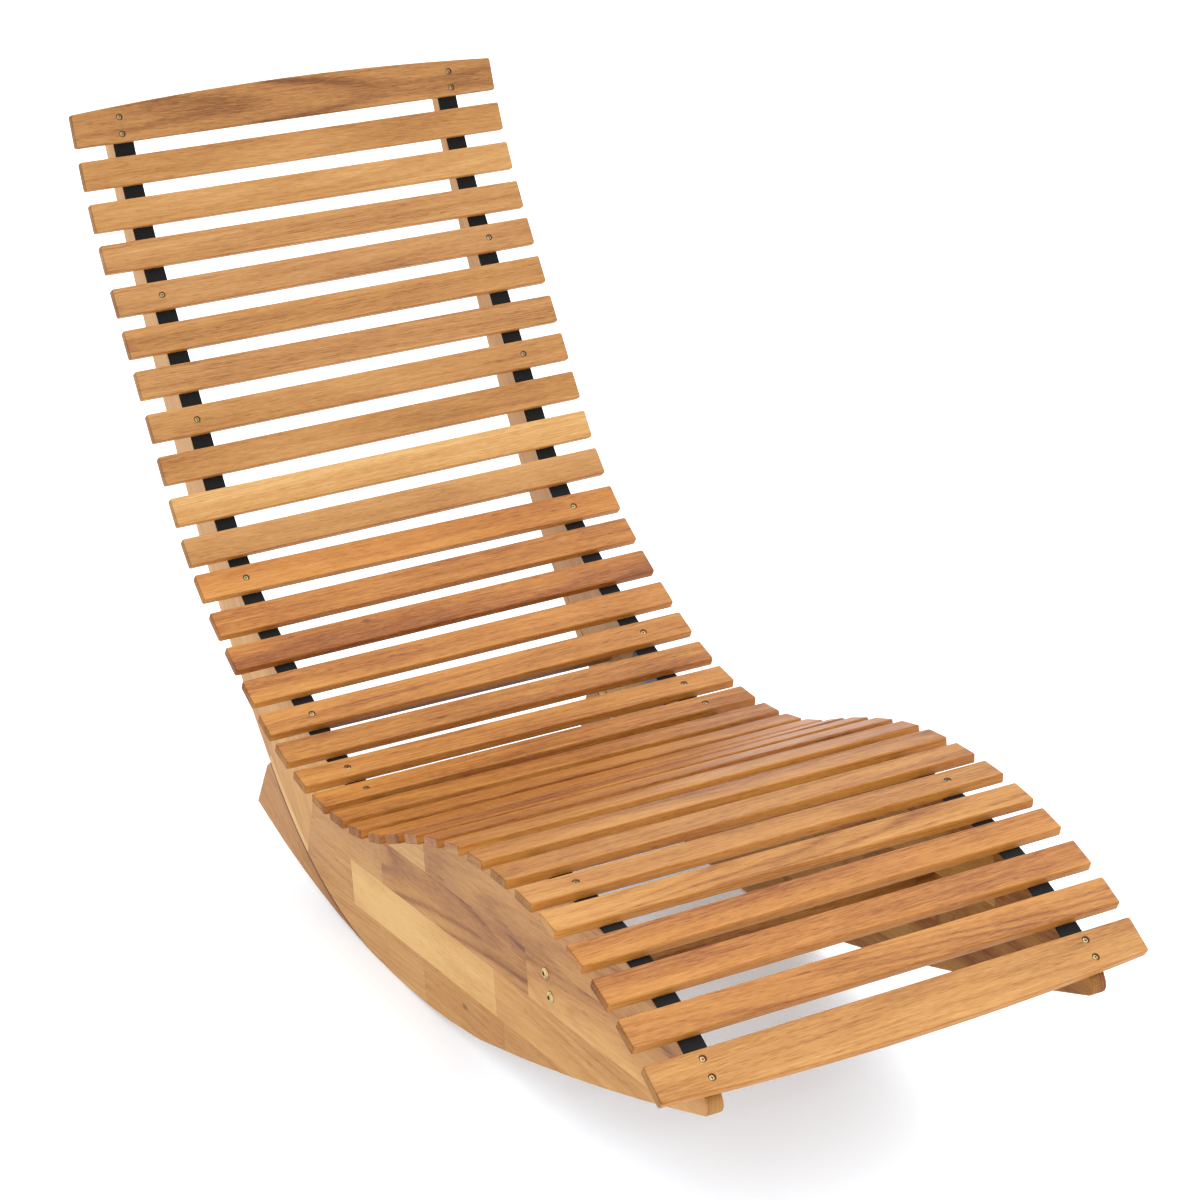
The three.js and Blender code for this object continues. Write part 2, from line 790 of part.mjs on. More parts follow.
function plateGeometry() {
  const shape = new THREE.Shape(
    roundedRectangle(plateLength, plateHeight, plateCornerRadius, smallCornerSteps),
  );
  for (const end of [-1, 1]) {
    for (const row of [-1, 1]) {
      const hole = new THREE.Path();
      const x = end * plateHoleLengthShare * plateLength / 2;
      const y = row * plateHoleHeightShare * plateHeight / 2;
      hole.absarc(x, y, plateHoleRadius, 0, 2 * Math.PI);
      shape.holes.push(hole);
    }
  }
  const settings = {
    depth: plateThickness,
    bevelEnabled: false,
    steps: 1,
    curveSegments: plateHoleSteps,
  };
  const plate = new THREE.ExtrudeGeometry(shape, settings);
  return plate.translate(0, 0, -plateThickness / 2).applyMatrix4(toSidePlane);
}

function addPlate(side, sideName) {
  const plate = addMesh(`joining_plate_${sideName}`, plateGeometry(), steel);
  const centre = fromSeam(0, plateDropHeight + plateHeight / 2);
  const x = sideSpread / 2 - boardThickness / 2 - seatGap - plateThickness / 2;
  plate.position.set(side * x, centre.x, centre.y);
  plate.rotation.x = seamHeading;
}

addSlats();
eachSide(addSideFrame);
eachSide(addStrap);
addStretchers();
eachSide(addBoltsAndNuts);
eachSide(addStretcherDowels);
eachSide(addPlate);

// The lounge rolls on its rocker until it balances, and its origin is on the floor under its middle
lounge.rotation.x = radians(restAngle);
lounge.updateMatrixWorld(true);
const extent = new THREE.Box3().setFromObject(lounge, true);
lounge.position.y = -(extent.min.y + extent.max.y) / 2;
lounge.position.z = -extent.min.z;

const group = new THREE.Group();
group.add(lounge);

export default group;
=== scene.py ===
import math
import random

import bmesh
import bpy
from mathutils import Matrix, Vector


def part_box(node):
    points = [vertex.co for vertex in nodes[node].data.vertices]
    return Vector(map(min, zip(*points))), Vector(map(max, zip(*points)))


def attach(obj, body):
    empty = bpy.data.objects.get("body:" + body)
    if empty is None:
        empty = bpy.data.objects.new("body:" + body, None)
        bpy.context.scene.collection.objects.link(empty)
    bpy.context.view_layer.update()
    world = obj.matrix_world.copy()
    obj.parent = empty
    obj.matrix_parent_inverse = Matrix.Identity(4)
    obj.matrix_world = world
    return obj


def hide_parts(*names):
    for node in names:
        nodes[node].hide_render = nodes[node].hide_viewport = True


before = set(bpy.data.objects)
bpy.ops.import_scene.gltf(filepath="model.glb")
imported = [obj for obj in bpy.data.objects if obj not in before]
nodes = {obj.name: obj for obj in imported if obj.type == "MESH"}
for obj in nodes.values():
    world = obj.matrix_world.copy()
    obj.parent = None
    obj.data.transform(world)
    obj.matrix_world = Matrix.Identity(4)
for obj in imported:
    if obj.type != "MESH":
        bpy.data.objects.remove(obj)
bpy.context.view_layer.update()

# Metres and degrees. +Y points to the head end, X goes across and Z is up; left is the -X side.
X_AXIS = Vector((1, 0, 0))
Y_AXIS = Vector((0, 1, 0))
Z_AXIS = Vector((0, 0, 1))
SIDES = ((-1, "left"), (1, "right"))

# Camera
IMAGE_SIDE = 1200
FOCAL_LENGTH_PIXELS = 3325.8
SENSOR_WIDTH_MM = 36
CAMERA_PLACE = (-1.6749, -3.2642, 1.9868)
CAMERA_TURN = (67.037, 1.314, -28.514)
CAMERA_REACH = 60

# Studio
SKY_STRENGTH = 1.62
SUN_STRENGTH = 1.7
SUN_SPREAD = 54
SUN_FROM = (0.92, 0.02, 1.0)
FLOOR_GLOW = 0.17
FLOOR_REACH = 30.0

# Slats
SLAT_COUNT = 34
END_SLATS = (1, SLAT_COUNT)
SLAT_LENGTH = 0.6018
SLAT_THICKNESS = 0.012
SLAT_CORNER = 0.003
SLAT_ROUNDING = 0.0020
END_SLAT_BOW = 0.011
BOW_EASE = 0.0004
CORNER_STEPS = 4
ROUNDING_STEPS = 3
BOW_STEPS = 16

# How slats lie askew: from the first to the last slat of a run by so many degrees, then at random
SLAT_YAWS = (
    (1, 4, -0.62),
    (8, 8, 0.25),
    (9, 11, 0.55),
    (13, 16, 0.5),
    (20, 21, -0.6),
    (30, 30, -0.35),
    (31, 31, 0.35),
    (34, 34, 0.3),
)
SLAT_TWIST = 0.08
SLAT_SLIP = 0.0003

# Tone of single slats, from sapwood at 0 to heartwood at 1
PLAIN_TONE = 0.47
SLAT_TONES = {
    1: 0.49, 2: 0.44, 3: 0.35, 4: 0.39, 6: 0.51, 8: 0.44, 9: 0.52, 10: 0.23, 11: 0.38, 13: 0.54,
    14: 0.61, 15: 0.49, 16: 0.49, 17: 0.58, 18: 0.45, 19: 0.60, 20: 0.67, 21: 0.61, 22: 0.60,
    23: 0.61, 24: 0.62, 25: 0.57, 26: 0.60, 27: 0.58, 28: 0.58, 29: 0.53, 30: 0.46, 31: 0.54,
    32: 0.56, 33: 0.49, 34: 0.43,
}
SLAT_TONE_SPREAD = 0.03
SLAT_LEAN = 0.15

# Warmth is drawn from a span for each run of slats, given with the run's last slat
SLAT_WARMTHS = (
    (9, (0.6, 1.0)),
    (11, (0.25, 0.75)),
    (15, (-0.8, -0.4)),
    (25, (-0.5, -0.1)),
    (30, (0.0, 0.3)),
    (33, (-0.5, -0.2)),
    (SLAT_COUNT, (0.2, 0.4)),
)

# How clearly growth rings show: the span it is drawn from, and single slats, with how steeply the pith
# runs off
PLAIN_FIGURE = (0.0, 0.45)
SLAT_FIGURES = {1: (0.9, 0.006), 3: (0.4, 0.02), 14: (0.6, 0.008), 30: (1.0, 0.02), 33: (0.4, 0.02)}

# How dark end grain is: the span it is drawn from, and single slats
PLAIN_END_DARK = (0.6, 1.0)
SLAT_END_DARKS = {24: 0.1, 25: 0.1, 26: 0.15, 27: 0.35, 30: 0.35, 31: 0.2, 32: 1.0, 33: 1.0}

# Narrow faces of slats and boards, which are those that look sideways. The slats' narrow faces are painted
# more orange, as light bounced between the slats.
SLAT_SIDE_TONE = -0.10
SLAT_SIDE_BOUNCE_ORANGE = 0.7
BOARD_SIDE_TONE = 0.05
SIDEWAYS = 0.5

# Boards: tone and warmth
RAIL_LOOKS = (0.31, 0.05)
HEEL_LOOKS = (0.54, 0.1)
STRETCHER_LOOKS = (0.62, 0.2)

# How a board lies in its log
FIBRE_TURN = 1.6
FLAT_SAWN_SHARE = 0.6
PITH_DEPTH = (0.05, 0.12)
PITH_ASIDE = 0.03
LOG_LENGTH = 40

# Darker rims beside rounded edges, painted shade where the rounding turns from the light, with some grime,
# and end grain on faces that look along the fibres
RIM_GAIN = 3.2
END_ON = 0.2
END_RIM = 1.0
LONG_RIM = 0.32
END_GRAIN_GAIN = 1.6
END_GRAIN_LOSS = 0.6

# Slat screws and their sinks
SCREWED_SLATS = (1, 5, 8, 12, 16, 18, 19, 29, 34)
SCREW_SPREAD = 0.473
END_SCREW_SPACING = 0.022
HOLE_RADIUS = 0.0024
SINK_RADIUS = 0.0045
SINK_DEPTH = 0.003
SCREW_SUNK = 0.0013
END_SCREW_SUNK = 0.0016
# Painted shade on the walls of the screw sinks
SINK_SHADE = 0.55
SINK_WALL_LIMIT = 0.95
SINK_STEPS = 32

# Bolts, and the holes of the joining plates as shares of half a plate's length and height
BOLT_HEAD_HEIGHT = 0.0036
PLATE_HOLE_SHARES = (0.7, 0.4)

# Straps; the section's corners are shares of width and thickness
STRAP_WIDTH = 0.028
STRAP_THICKNESS = 0.0018
STRAP_INSET = 0.0035
STRAP_GAP = 0.0003
STRAP_HEAD_REACH = 0.013
STRAP_FOOT_REACH = 0.020
STRAP_SECTION = (
    (-0.5, 0.0), (-0.48, -0.38), (-0.42, -0.5), (0.42, -0.5), (0.48, -0.38),
    (0.5, 0.0), (0.48, 0.38), (0.42, 0.5), (-0.42, 0.5), (-0.48, 0.38),
)

# Staves of the rocker panels: glue lines run at this slope, this far apart, through this point
GLUE_SLOPE = math.radians(-5.0)
STAVE_WIDTH = 0.060
GLUE_ORIGIN = Vector((0, 0.1416, 0.1055))
GLUE_ALONG = Vector((0, math.cos(GLUE_SLOPE), math.sin(GLUE_SLOPE)))
GLUE_ACROSS = Vector((0, -math.sin(GLUE_SLOPE), math.cos(GLUE_SLOPE)))
BEYOND_FOOT = -1.0

# Rows of staves, from the lowest. Each stave has the place where it starts, read from the head end towards
# the foot, and its tone, warmth, lean, figure and tilt. Row 0 lies just below the line through GLUE_ORIGIN.
LEFT_ROWS = {
    -2: (
        (0.30, 0.42, 0.2, 0.0, 0.3, 0.0),
        (-0.20, 0.36, 0.1, 0.0, 0.3, 0.0),
    ),
    -1: (
        (0.30, 0.28, 0.2, 0.0, 0.6, 0.0),
        (-0.098, 0.41, 0.0, 0.0, 0.2, 0.0),
        (-0.31, 0.33, 0.0, 0.1, 0.3, 0.02),
    ),
    0: (
        (0.30, 0.42, 0.2, 0.0, 0.5, 0.02),
        (0.097, 0.10, 0.0, 0.03, 0.1, 0.0),
        (-0.2935, 0.36, 0.0, 0.0, 0.3, 0.02),
    ),
    1: (
        (0.30, 0.40, 0.3, 0.0, 0.3, 0.0),
        (0.0025, 0.50, 0.1, 0.08, 1.0, 0.02),
        (-0.3817, 0.37, 0.1, 0.22, 0.5, -0.02),
    ),
    2: (
        (0.30, 0.17, 0.1, 0.0, 0.1, 0.0),
        (-0.1275, 0.50, 0.2, -0.06, 0.9, -0.015),
    ),
    3: (
        (0.30, 0.38, 0.3, 0.0, 0.3, 0.0),
        (-0.30, 0.42, 0.2, 0.0, 0.3, 0.0),
    ),
}
# The right panel's staves are darker and less pink than the left's: painted shade and bounce light for its
# inner face, which lies in shadow under the seat
RIGHT_ROWS = {
    -2: (
        (0.30, 0.48, 0.0, 0.0, 0.4, 0.0),
    ),
    -1: (
        (0.30, 0.42, 0.0, 0.0, 0.4, 0.0),
        (-0.14, 0.54, 0.1, 0.0, 0.4, 0.0),
    ),
    0: (
        (0.30, 0.50, 0.0, 0.0, 0.5, 0.0),
        (-0.05, 0.30, 0.0, 0.0, 0.2, 0.0),
        (-0.42, 0.56, 0.0, 0.1, 0.6, 0.0),
    ),
    1: (
        (0.30, 0.36, 0.0, 0.0, 0.2, 0.0),
        (-0.22, 0.50, 0.1, 0.0, 0.8, 0.08),
        (-0.52, 0.58, 0.0, 0.0, 0.5, 0.0),
    ),
    2: (
        (0.30, 0.52, 0.1, 0.0, 0.5, 0.0),
        (-0.36, 0.34, 0.0, 0.1, 0.3, 0.0),
        (-0.60, 0.62, 0.0, 0.0, 0.5, 0.0),
    ),
    3: (
        (0.30, 0.44, 0.0, 0.0, 0.3, 0.0),
        (-0.40, 0.56, 0.1, 0.0, 0.4, 0.0),
    ),
}

# Strips along the joint of rail and heel: a painted highlight on the rail, a painted shadow line on the
# heel
HIGHLIGHT_REACH = 0.007
HIGHLIGHT_WIDTH = 0.010
HIGHLIGHT_TONE = -0.30
JOINT_REACH = 0.0025
JOINT_WIDTH = 0.0046
JOINT_SHADE = 0.8
STRIP_TURN = math.radians(60)
STRIP_ROOM_SHARE = 0.4
STRIP_END_LEAN = 0.5

# Meshes
WELD = 2e-5
FLAT_ANGLE = 0.3
SHARP_ANGLE = 38
NORMAL_WEIGHT = 90
SIDE_ON = 0.99
PARALLEL = 0.999
OVERRUN = 0.002
TURN_STEPS = 48
DOME_STEPS = 7


# Material helpers

def srgb(red, green, blue):
    """Linear colour of an sRGB one given from 0 to 255."""
    channels = []
    for value in (red, green, blue):
        share = value / 255
        low = share <= 0.04045
        channels.append(share / 12.92 if low else ((share + 0.055) / 1.055) ** 2.4)
    return (*channels, 1.0)


class Shader:
    """A material's node tree with short calls to fill it."""

    def __init__(self, name):
        self.material = bpy.data.materials.new(name)
        self.material.use_nodes = True
        self.tree = self.material.node_tree
        self.surface = self.tree.nodes["Principled BSDF"]

    def node(self, kind, inputs=None, **settings):
        made = self.tree.nodes.new(kind)
        for key, value in settings.items():
            setattr(made, key, value)
        for key, value in (inputs or {}).items():
            self.feed(made.inputs[key], value)
        return made

    def feed(self, socket, value):
        if isinstance(value, bpy.types.NodeSocket):
            self.tree.links.new(value, socket)
        else:
            socket.default_value = value

    def set(self, name, value):
        self.feed(self.surface.inputs[name], value)

    def math(self, operation, first, second=0.0, clamp=False):
        inputs = {0: first, 1: second}
        return self.node("ShaderNodeMath", inputs, operation=operation, use_clamp=clamp).outputs[0]

    def vector_math(self, operation, first, second):
        inputs = {0: first, 1: second}
        return self.node("ShaderNodeVectorMath", inputs, operation=operation).outputs[0]

    def stretch(self, vector, scale):
        return self.vector_math("MULTIPLY", vector, scale)

    def split(self, vector):
        return self.node("ShaderNodeSeparateXYZ", {0: vector}).outputs

    def join(self, x, y, z=0.0):
        return self.node("ShaderNodeCombineXYZ", {0: x, 1: y, 2: z}).outputs[0]

    def noise(self, vector, detail=2.0, roughness=0.5, scale=1.0, output=0):
        inputs = {"Vector": vector, "Scale": scale, "Detail": detail, "Roughness": roughness}
        return self.node("ShaderNodeTexNoise", inputs).outputs[output]

    def ramp(self, factor, stops):
        made = self.node("ShaderNodeValToRGB", {0: factor})
        elements = made.color_ramp.elements
        while len(elements) < len(stops):
            elements.new(0.5)
        for element, (place, colour) in zip(elements, stops):
            element.position = place
            element.color = colour
        return made.outputs[0]

    def mix(self, factor, first, second, blend="MIX"):
        made = self.node("ShaderNodeMix", data_type="RGBA", blend_type=blend)
        self.feed(made.inputs[0], factor)
        self.feed(made.inputs[6], first)
        self.feed(made.inputs[7], second)
        return made.outputs[2]

    def span(self, value, low, high, start, end):
        inputs = {0: value, 1: low, 2: high, 3: start, 4: end}
        return self.node("ShaderNodeMapRange", inputs).outputs[0]

    def attribute(self, name):
        return self.node("ShaderNodeAttribute", attribute_name=name).outputs["Vector"]

    def bump(self, height, strength, distance):
        inputs = {"Height": height, "Strength": strength, "Distance": distance}
        self.set("Normal", self.node("ShaderNodeBump", inputs).outputs[0])


# Wood. Each face corner carries its place in the log that its board was sawn from, along the fibres and
# across them, its place in the tree, the same but with the pith askew to the board, and its cast: tone
# from sapwood to heartwood, warmth, and end grain. Warmth goes from yellow at 0 to pink at 1, and to
# orange below 0. The cast also holds painted bounce light on the slats' narrow faces and a painted
# highlight on the rail beside the heel. Each face carries its painted shade and figure: nearness to a
# rounded edge, where shade is painted, how clearly growth rings show, and painted shade in a joint or
# a screw sink.

YELLOW_STOPS = (
    (0.00, srgb(195, 154, 94)),
    (0.25, srgb(177, 130, 69)),
    (0.50, srgb(158, 108, 49)),
    (0.75, srgb(120, 68, 25)),
    (1.00, srgb(56, 30, 16)),
)
PINK_STOPS = (
    (0.00, srgb(189, 155, 108)),
    (0.25, srgb(170, 128, 80)),
    (0.50, srgb(151, 105, 59)),
    (0.75, srgb(110, 69, 36)),
    (1.00, srgb(55, 33, 19)),
)
DARKEST_TONE = 0.84
ORANGE_TINT = (1.0, 0.80, 0.55, 1.0)
END_GRAIN_TINT = (0.48, 0.43, 0.40, 1.0)
# Painted shade, with some grime, on faces beside rounded edges
RIM_SHADE_TINT = (0.50, 0.38, 0.28, 1.0)
RIM_PATCHINESS = 0.45
# Painted shade in the heel's joint and in screw sinks
PAINTED_SHADE_TINT = (0.28, 0.15, 0.08, 1.0)

# Scales of the patterns, per metre along the fibres and in both directions across them
DRIFT_SCALE = (2.5, 13.0, 13.0)
PATCH_SCALE = (4.5, 20.0, 20.0)
KNOT_SCALE = (13.0, 30.0, 30.0)
FIBRE_SCALE = (22.0, 460.0, 460.0)
SPECKLE_SCALE = (40.0, 900.0, 900.0)
PORE_SCALE = (60.0, 760.0, 760.0)
THREAD_SCALE = (75.0, 1000.0, 1000.0)

# Scales of growth bands and fine rings, per metre away from the pith and along it
BAND_SCALE = (70.0, 1.1)
RING_SCALE = (420.0, 4.0)
LATEWOOD_RINGS_PER_METRE = 340.0
GRAIN_WARP = (0.0, 0.008, 0.008)

# How far the patterns move the tone
BAND_GAIN = 0.60
RING_GAIN = 0.42
FIBRE_GAIN = 0.60
PATCH_GAIN = 0.50
LATEWOOD_GAINS = (0.05, 0.22)
LATEWOOD_SHARPNESS = 3.0
PORE_GAIN = 0.13

# Knots: the share of cells that have none, and from where to where a knot fades out
KNOT_FREE_SHARE = 0.965
KNOT_FADE = (0.04, 0.13)
KNOT_STRENGTH = 0.7
KNOT_COLOUR = srgb(74, 42, 24)

# Surface
OILED_ROUGHNESS = (0.36, 0.56)
END_GRAIN_ROUGHNESS = 0.25
OILED_SPECULAR = 0.22
GRAIN_BUMP = (0.35, 0.0004)


def tree_place(shader, log):
    """Places along the pith and away from it, warped as grown wood is."""
    drift = shader.noise(shader.stretch(log, DRIFT_SCALE), detail=1.0, output=1)
    warp = shader.stretch(shader.vector_math("SUBTRACT", drift, (0.5, 0.5, 0.5)), GRAIN_WARP)
    along, aside, deep = shader.split(shader.vector_math("ADD", shader.attribute("tree"), warp))
    across = shader.join(0.0, aside, deep)
    radius = shader.node("ShaderNodeVectorMath", {0: across}, operation="LENGTH").outputs["Value"]
    return along, radius


def ring_noise(shader, along, radius, scale):
    """Noise in rings about the pith, drawn out along it."""
    radial = shader.math("MULTIPLY", radius, scale[0])
    return shader.noise(shader.join(radial, shader.math("MULTIPLY", along, scale[1])), detail=2.0)


def latewood(shader, radius, bands):
    """Narrow dark lines where each year's growth ends, clearer in some bands than in others."""
    turns = shader.math("MULTIPLY", radius, 2 * math.pi * LATEWOOD_RINGS_PER_METRE)
    wave = shader.span(shader.math("SINE", turns), -1.0, 1.0, 0.0, 1.0)
    crest = shader.math("POWER", wave, LATEWOOD_SHARPNESS)
    return shader.math("MULTIPLY", crest, shader.span(bands, 0.35, 0.6, *LATEWOOD_GAINS))


def knots(shader, log):
    """A few small knots, one in the middle of some cells of the log."""
    inputs = {"Vector": shader.stretch(log, KNOT_SCALE), "Scale": 1.0}
    cells = shader.node("ShaderNodeTexVoronoi", inputs).outputs
    chance = shader.node("ShaderNodeSeparateColor", {0: cells["Color"]}).outputs[0]
    rare = shader.math("GREATER_THAN", chance, KNOT_FREE_SHARE)
    knot = shader.math("MULTIPLY", shader.span(cells["Distance"], *KNOT_FADE, 1.0, 0.0), rare)
    return shader.math("MULTIPLY", knot, KNOT_STRENGTH)


def wood(name, contrast=1.0, fibre=1.0, banded=1.0, rim=0.5):
    """Oiled acacia, with growth bands, fine rings, fibres, pores and a few small knots."""
    shader = Shader(name)
    log = shader.attribute("log")
    tone, warmth, end_grain = shader.split(shader.attribute("cast"))
    edge, figure, painted_shade = shader.split(shader.attribute("shade_and_figure"))
    along, radius = tree_place(shader, log)
    bands = ring_noise(shader, along, radius, BAND_SCALE)
    fine = ring_noise(shader, along, radius, RING_SCALE)
    fibres = shader.noise(shader.stretch(log, FIBRE_SCALE), detail=3.0, roughness=0.65)
    threads = shader.noise(shader.stretch(log, THREAD_SCALE), detail=2.0, roughness=0.6)
    patches = shader.noise(shader.stretch(log, PATCH_SCALE), detail=2.0)
    dashes = shader.noise(shader.stretch(log, PORE_SCALE), detail=1.0)
    pores = shader.span(dashes, 0.58, 0.72, 0.0, PORE_GAIN)
    speckles = shader.noise(shader.stretch(log, SPECKLE_SCALE), detail=2.0)

    gains = (
        (bands, BAND_GAIN * banded),
        (fine, RING_GAIN),
        (fibres, FIBRE_GAIN * fibre),
        (threads, FIBRE_GAIN * fibre),
        (patches, PATCH_GAIN),
    )
    for part, gain in gains:
        swing = shader.math("MULTIPLY", shader.math("SUBTRACT", part, 0.5), gain * contrast)
        tone = shader.math("ADD", tone, swing)
    lines = shader.math("MULTIPLY", latewood(shader, radius, bands), figure)
    tone = shader.math("ADD", shader.math("ADD", tone, lines), pores, clamp=True)
    tone = shader.math("MINIMUM", tone, DARKEST_TONE)

    colour = shader.mix(warmth, shader.ramp(tone, YELLOW_STOPS), shader.ramp(tone, PINK_STOPS))
    colour = shader.mix(shader.span(warmth, -1.0, 0.0, 1.0, 0.0), colour, ORANGE_TINT, "MULTIPLY")
    colour = shader.mix(knots(shader, log), colour, KNOT_COLOUR)
    end_share = shader.math("MULTIPLY", end_grain, shader.span(speckles, 0.35, 0.65, 0.5, 1.0))
    colour = shader.mix(end_share, colour, END_GRAIN_TINT, "MULTIPLY")
    # Painted shade beside rounded edges, with some grime, patchy along the fibres
    rim_shade = shader.math("MULTIPLY", edge, shader.span(patches, 0.3, 0.7, RIM_PATCHINESS * rim, rim))
    colour = shader.mix(rim_shade, colour, RIM_SHADE_TINT, "MULTIPLY")
    # Painted shadow along the heel's joint, and painted shade in screw sinks
    shader.set("Base Color", shader.mix(painted_shade, colour, PAINTED_SHADE_TINT, "MULTIPLY"))

    rough = shader.span(fibres, 0.3, 0.7, *OILED_ROUGHNESS)
    end_rough = shader.math("MULTIPLY", end_grain, END_GRAIN_ROUGHNESS)
    shader.set("Roughness", shader.math("ADD", rough, end_rough))
    shader.set("Specular IOR Level", OILED_SPECULAR)
    height = shader.math("ADD", shader.math("MULTIPLY", fibres, 0.6), shader.math("MULTIPLY", fine, 0.4))
    shader.bump(shader.math("SUBTRACT", height, pores), *GRAIN_BUMP)
    return shader.material


# Other materials

DOWEL_STOPS = ((0.3, srgb(168, 140, 104)), (0.7, srgb(184, 162, 127)))
DOWEL_SCALE = (30.0, 700.0, 700.0)
WEBBING_STOPS = ((0.15, srgb(3, 4, 4)), (0.9, srgb(20, 22, 22)))
WEFT_SCALE = 210.0
WARP_SCALE = 260.0
FUZZ_SCALE = (900.0, 900.0, 900.0)
SCRATCH_SCALE = (2400.0, 300.0, 300.0)
FLOOR_STOPS = ((0.3, (0.80, 0.86, 0.92, 1.0)), (0.7, (0.82, 0.88, 0.94, 1.0)))
WHITE = (1.0, 1.0, 1.0, 1.0)


def bare_dowel():
    """Pale turned beech."""
    shader = Shader("dowel wood")
    place = shader.node("ShaderNodeTexCoord").outputs["Object"]
    fibres = shader.noise(shader.stretch(place, DOWEL_SCALE), detail=2.0)
    shader.set("Base Color", shader.ramp(fibres, DOWEL_STOPS))
    shader.set("Roughness", shader.span(fibres, 0.3, 0.7, 0.62, 0.78))
    shader.bump(fibres, 0.2, 0.0002)
    return shader.material


def webbing():
    """Black polyester webbing, plain weave."""
    shader = Shader("webbing")
    place = shader.attribute("weave")

    def ribs(scale, direction):
        inputs = {"Vector": place, "Scale": scale}
        return shader.node("ShaderNodeTexWave", inputs, bands_direction=direction).outputs[1]

    threads = shader.math("MULTIPLY", ribs(WEFT_SCALE, "X"), ribs(WARP_SCALE, "Y"))
    fuzz = shader.noise(shader.stretch(place, FUZZ_SCALE), detail=2.0)
    shade = shader.math("ADD", shader.math("MULTIPLY", threads, 0.7), shader.math("MULTIPLY", fuzz, 0.5))
    shader.set("Base Color", shader.ramp(shade, WEBBING_STOPS))
    shader.set("Roughness", shader.span(fuzz, 0.3, 0.7, 0.7, 0.9))
    shader.set("Specular IOR Level", 0.25)
    shader.set("Sheen Weight", 0.03)
    shader.bump(threads, 0.5, 0.0003)
    return shader.material


def plated(name, colours, roughness, scale):
    """Plated steel: blotches of the plating over fine scratches."""
    shader = Shader(name)
    place = shader.node("ShaderNodeTexCoord").outputs["Object"]
    blotches = shader.noise(place, detail=3.0, scale=scale)
    scratches = shader.noise(shader.stretch(place, SCRATCH_SCALE), detail=1.0)
    shader.set("Base Color", shader.ramp(blotches, ((0.3, colours[0]), (0.7, colours[1]))))
    shader.set("Metallic", 1.0)
    shader.set("Roughness", shader.span(scratches, 0.3, 0.7, roughness - 0.06, roughness + 0.08))
    shader.bump(scratches, 0.15, 0.0001)
    return shader.material


def floor_paint():
    """Pale seamless studio floor."""
    shader = Shader("studio floor")
    place = shader.node("ShaderNodeTexCoord").outputs["Object"]
    cloud = shader.noise(place, detail=2.0, scale=1.5)
    shader.set("Base Color", shader.ramp(cloud, FLOOR_STOPS))
    shader.set("Roughness", 0.9)
    shader.set("Specular IOR Level", 0.1)
    shader.set("Emission Color", WHITE)
    shader.set("Emission Strength", FLOOR_GLOW)
    return shader.material


# Mesh helpers

def add_piece(name, mesh, material, node=None, weighted=True):
    """A smooth piece on the root, in place of a CAD node if one is named."""
    mesh.shade_smooth()
    mesh.set_sharp_from_angle(angle=math.radians(SHARP_ANGLE))
    mesh.materials.clear()
    mesh.materials.append(material)
    piece = bpy.data.objects.new(name, mesh)
    bpy.context.scene.collection.objects.link(piece)
    if weighted:
        weigh_normals(piece)
    if node:
        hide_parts(node)
    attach(piece, "root")


def weigh_normals(piece):
    """Keeps large faces flat and lets the narrow ones round off between them."""
    modifier = piece.modifiers.new("weighted normals", "WEIGHTED_NORMAL")
    modifier.weight = NORMAL_WEIGHT
    modifier.keep_sharp = True


def extent(points, axis):
    """The lowest and the highest place of some points along an axis."""
    places = [point.dot(axis) for point in points]
    return min(places), max(places)


def ring_mesh(name, rings):
    """A closed solid through rings of the same number of points, from the lowest to the highest."""
    solid = bmesh.new()
    loops = [[solid.verts.new(point) for point in ring] for ring in rings]
    for low, high in zip(loops, loops[1:]):
        for index in range(len(low)):
            after = (index + 1) % len(low)
            solid.faces.new((low[index], low[after], high[after], high[index]))
    solid.faces.new(list(reversed(loops[0])))
    solid.faces.new(loops[-1])
    mesh = bpy.data.meshes.new(name)
    solid.to_mesh(mesh)
    solid.free()
    return mesh


def turned_mesh(name, profile, steps=TURN_STEPS):
    """A solid about Z. Each profile entry is a height and a radius, or a height and a radius by angle."""
    rings = []
    for height, radius in profile:
        ring = []
        for step in range(steps):
            angle = 2 * math.pi * step / steps
            reach = radius(angle) if callable(radius) else radius
            ring.append((reach * math.cos(angle), reach * math.sin(angle), height))
        rings.append(ring)
    return ring_mesh(name, rings)


def carved(mesh, cutters):
    """The mesh less the cutters, which are deleted."""
    blank = bpy.data.objects.new("blank", mesh)
    bpy.context.scene.collection.objects.link(blank)
    for cutter in cutters:
        modifier = blank.modifiers.new("cut", "BOOLEAN")
        modifier.object = cutter
        modifier.solver = "EXACT"
    view = bpy.context.evaluated_depsgraph_get()
    result = bpy.data.meshes.new_from_object(blank.evaluated_get(view))
    result.name = mesh.name
    for used in (blank, *cutters):
        bpy.data.objects.remove(used)
    return result


# Wood grain on meshes

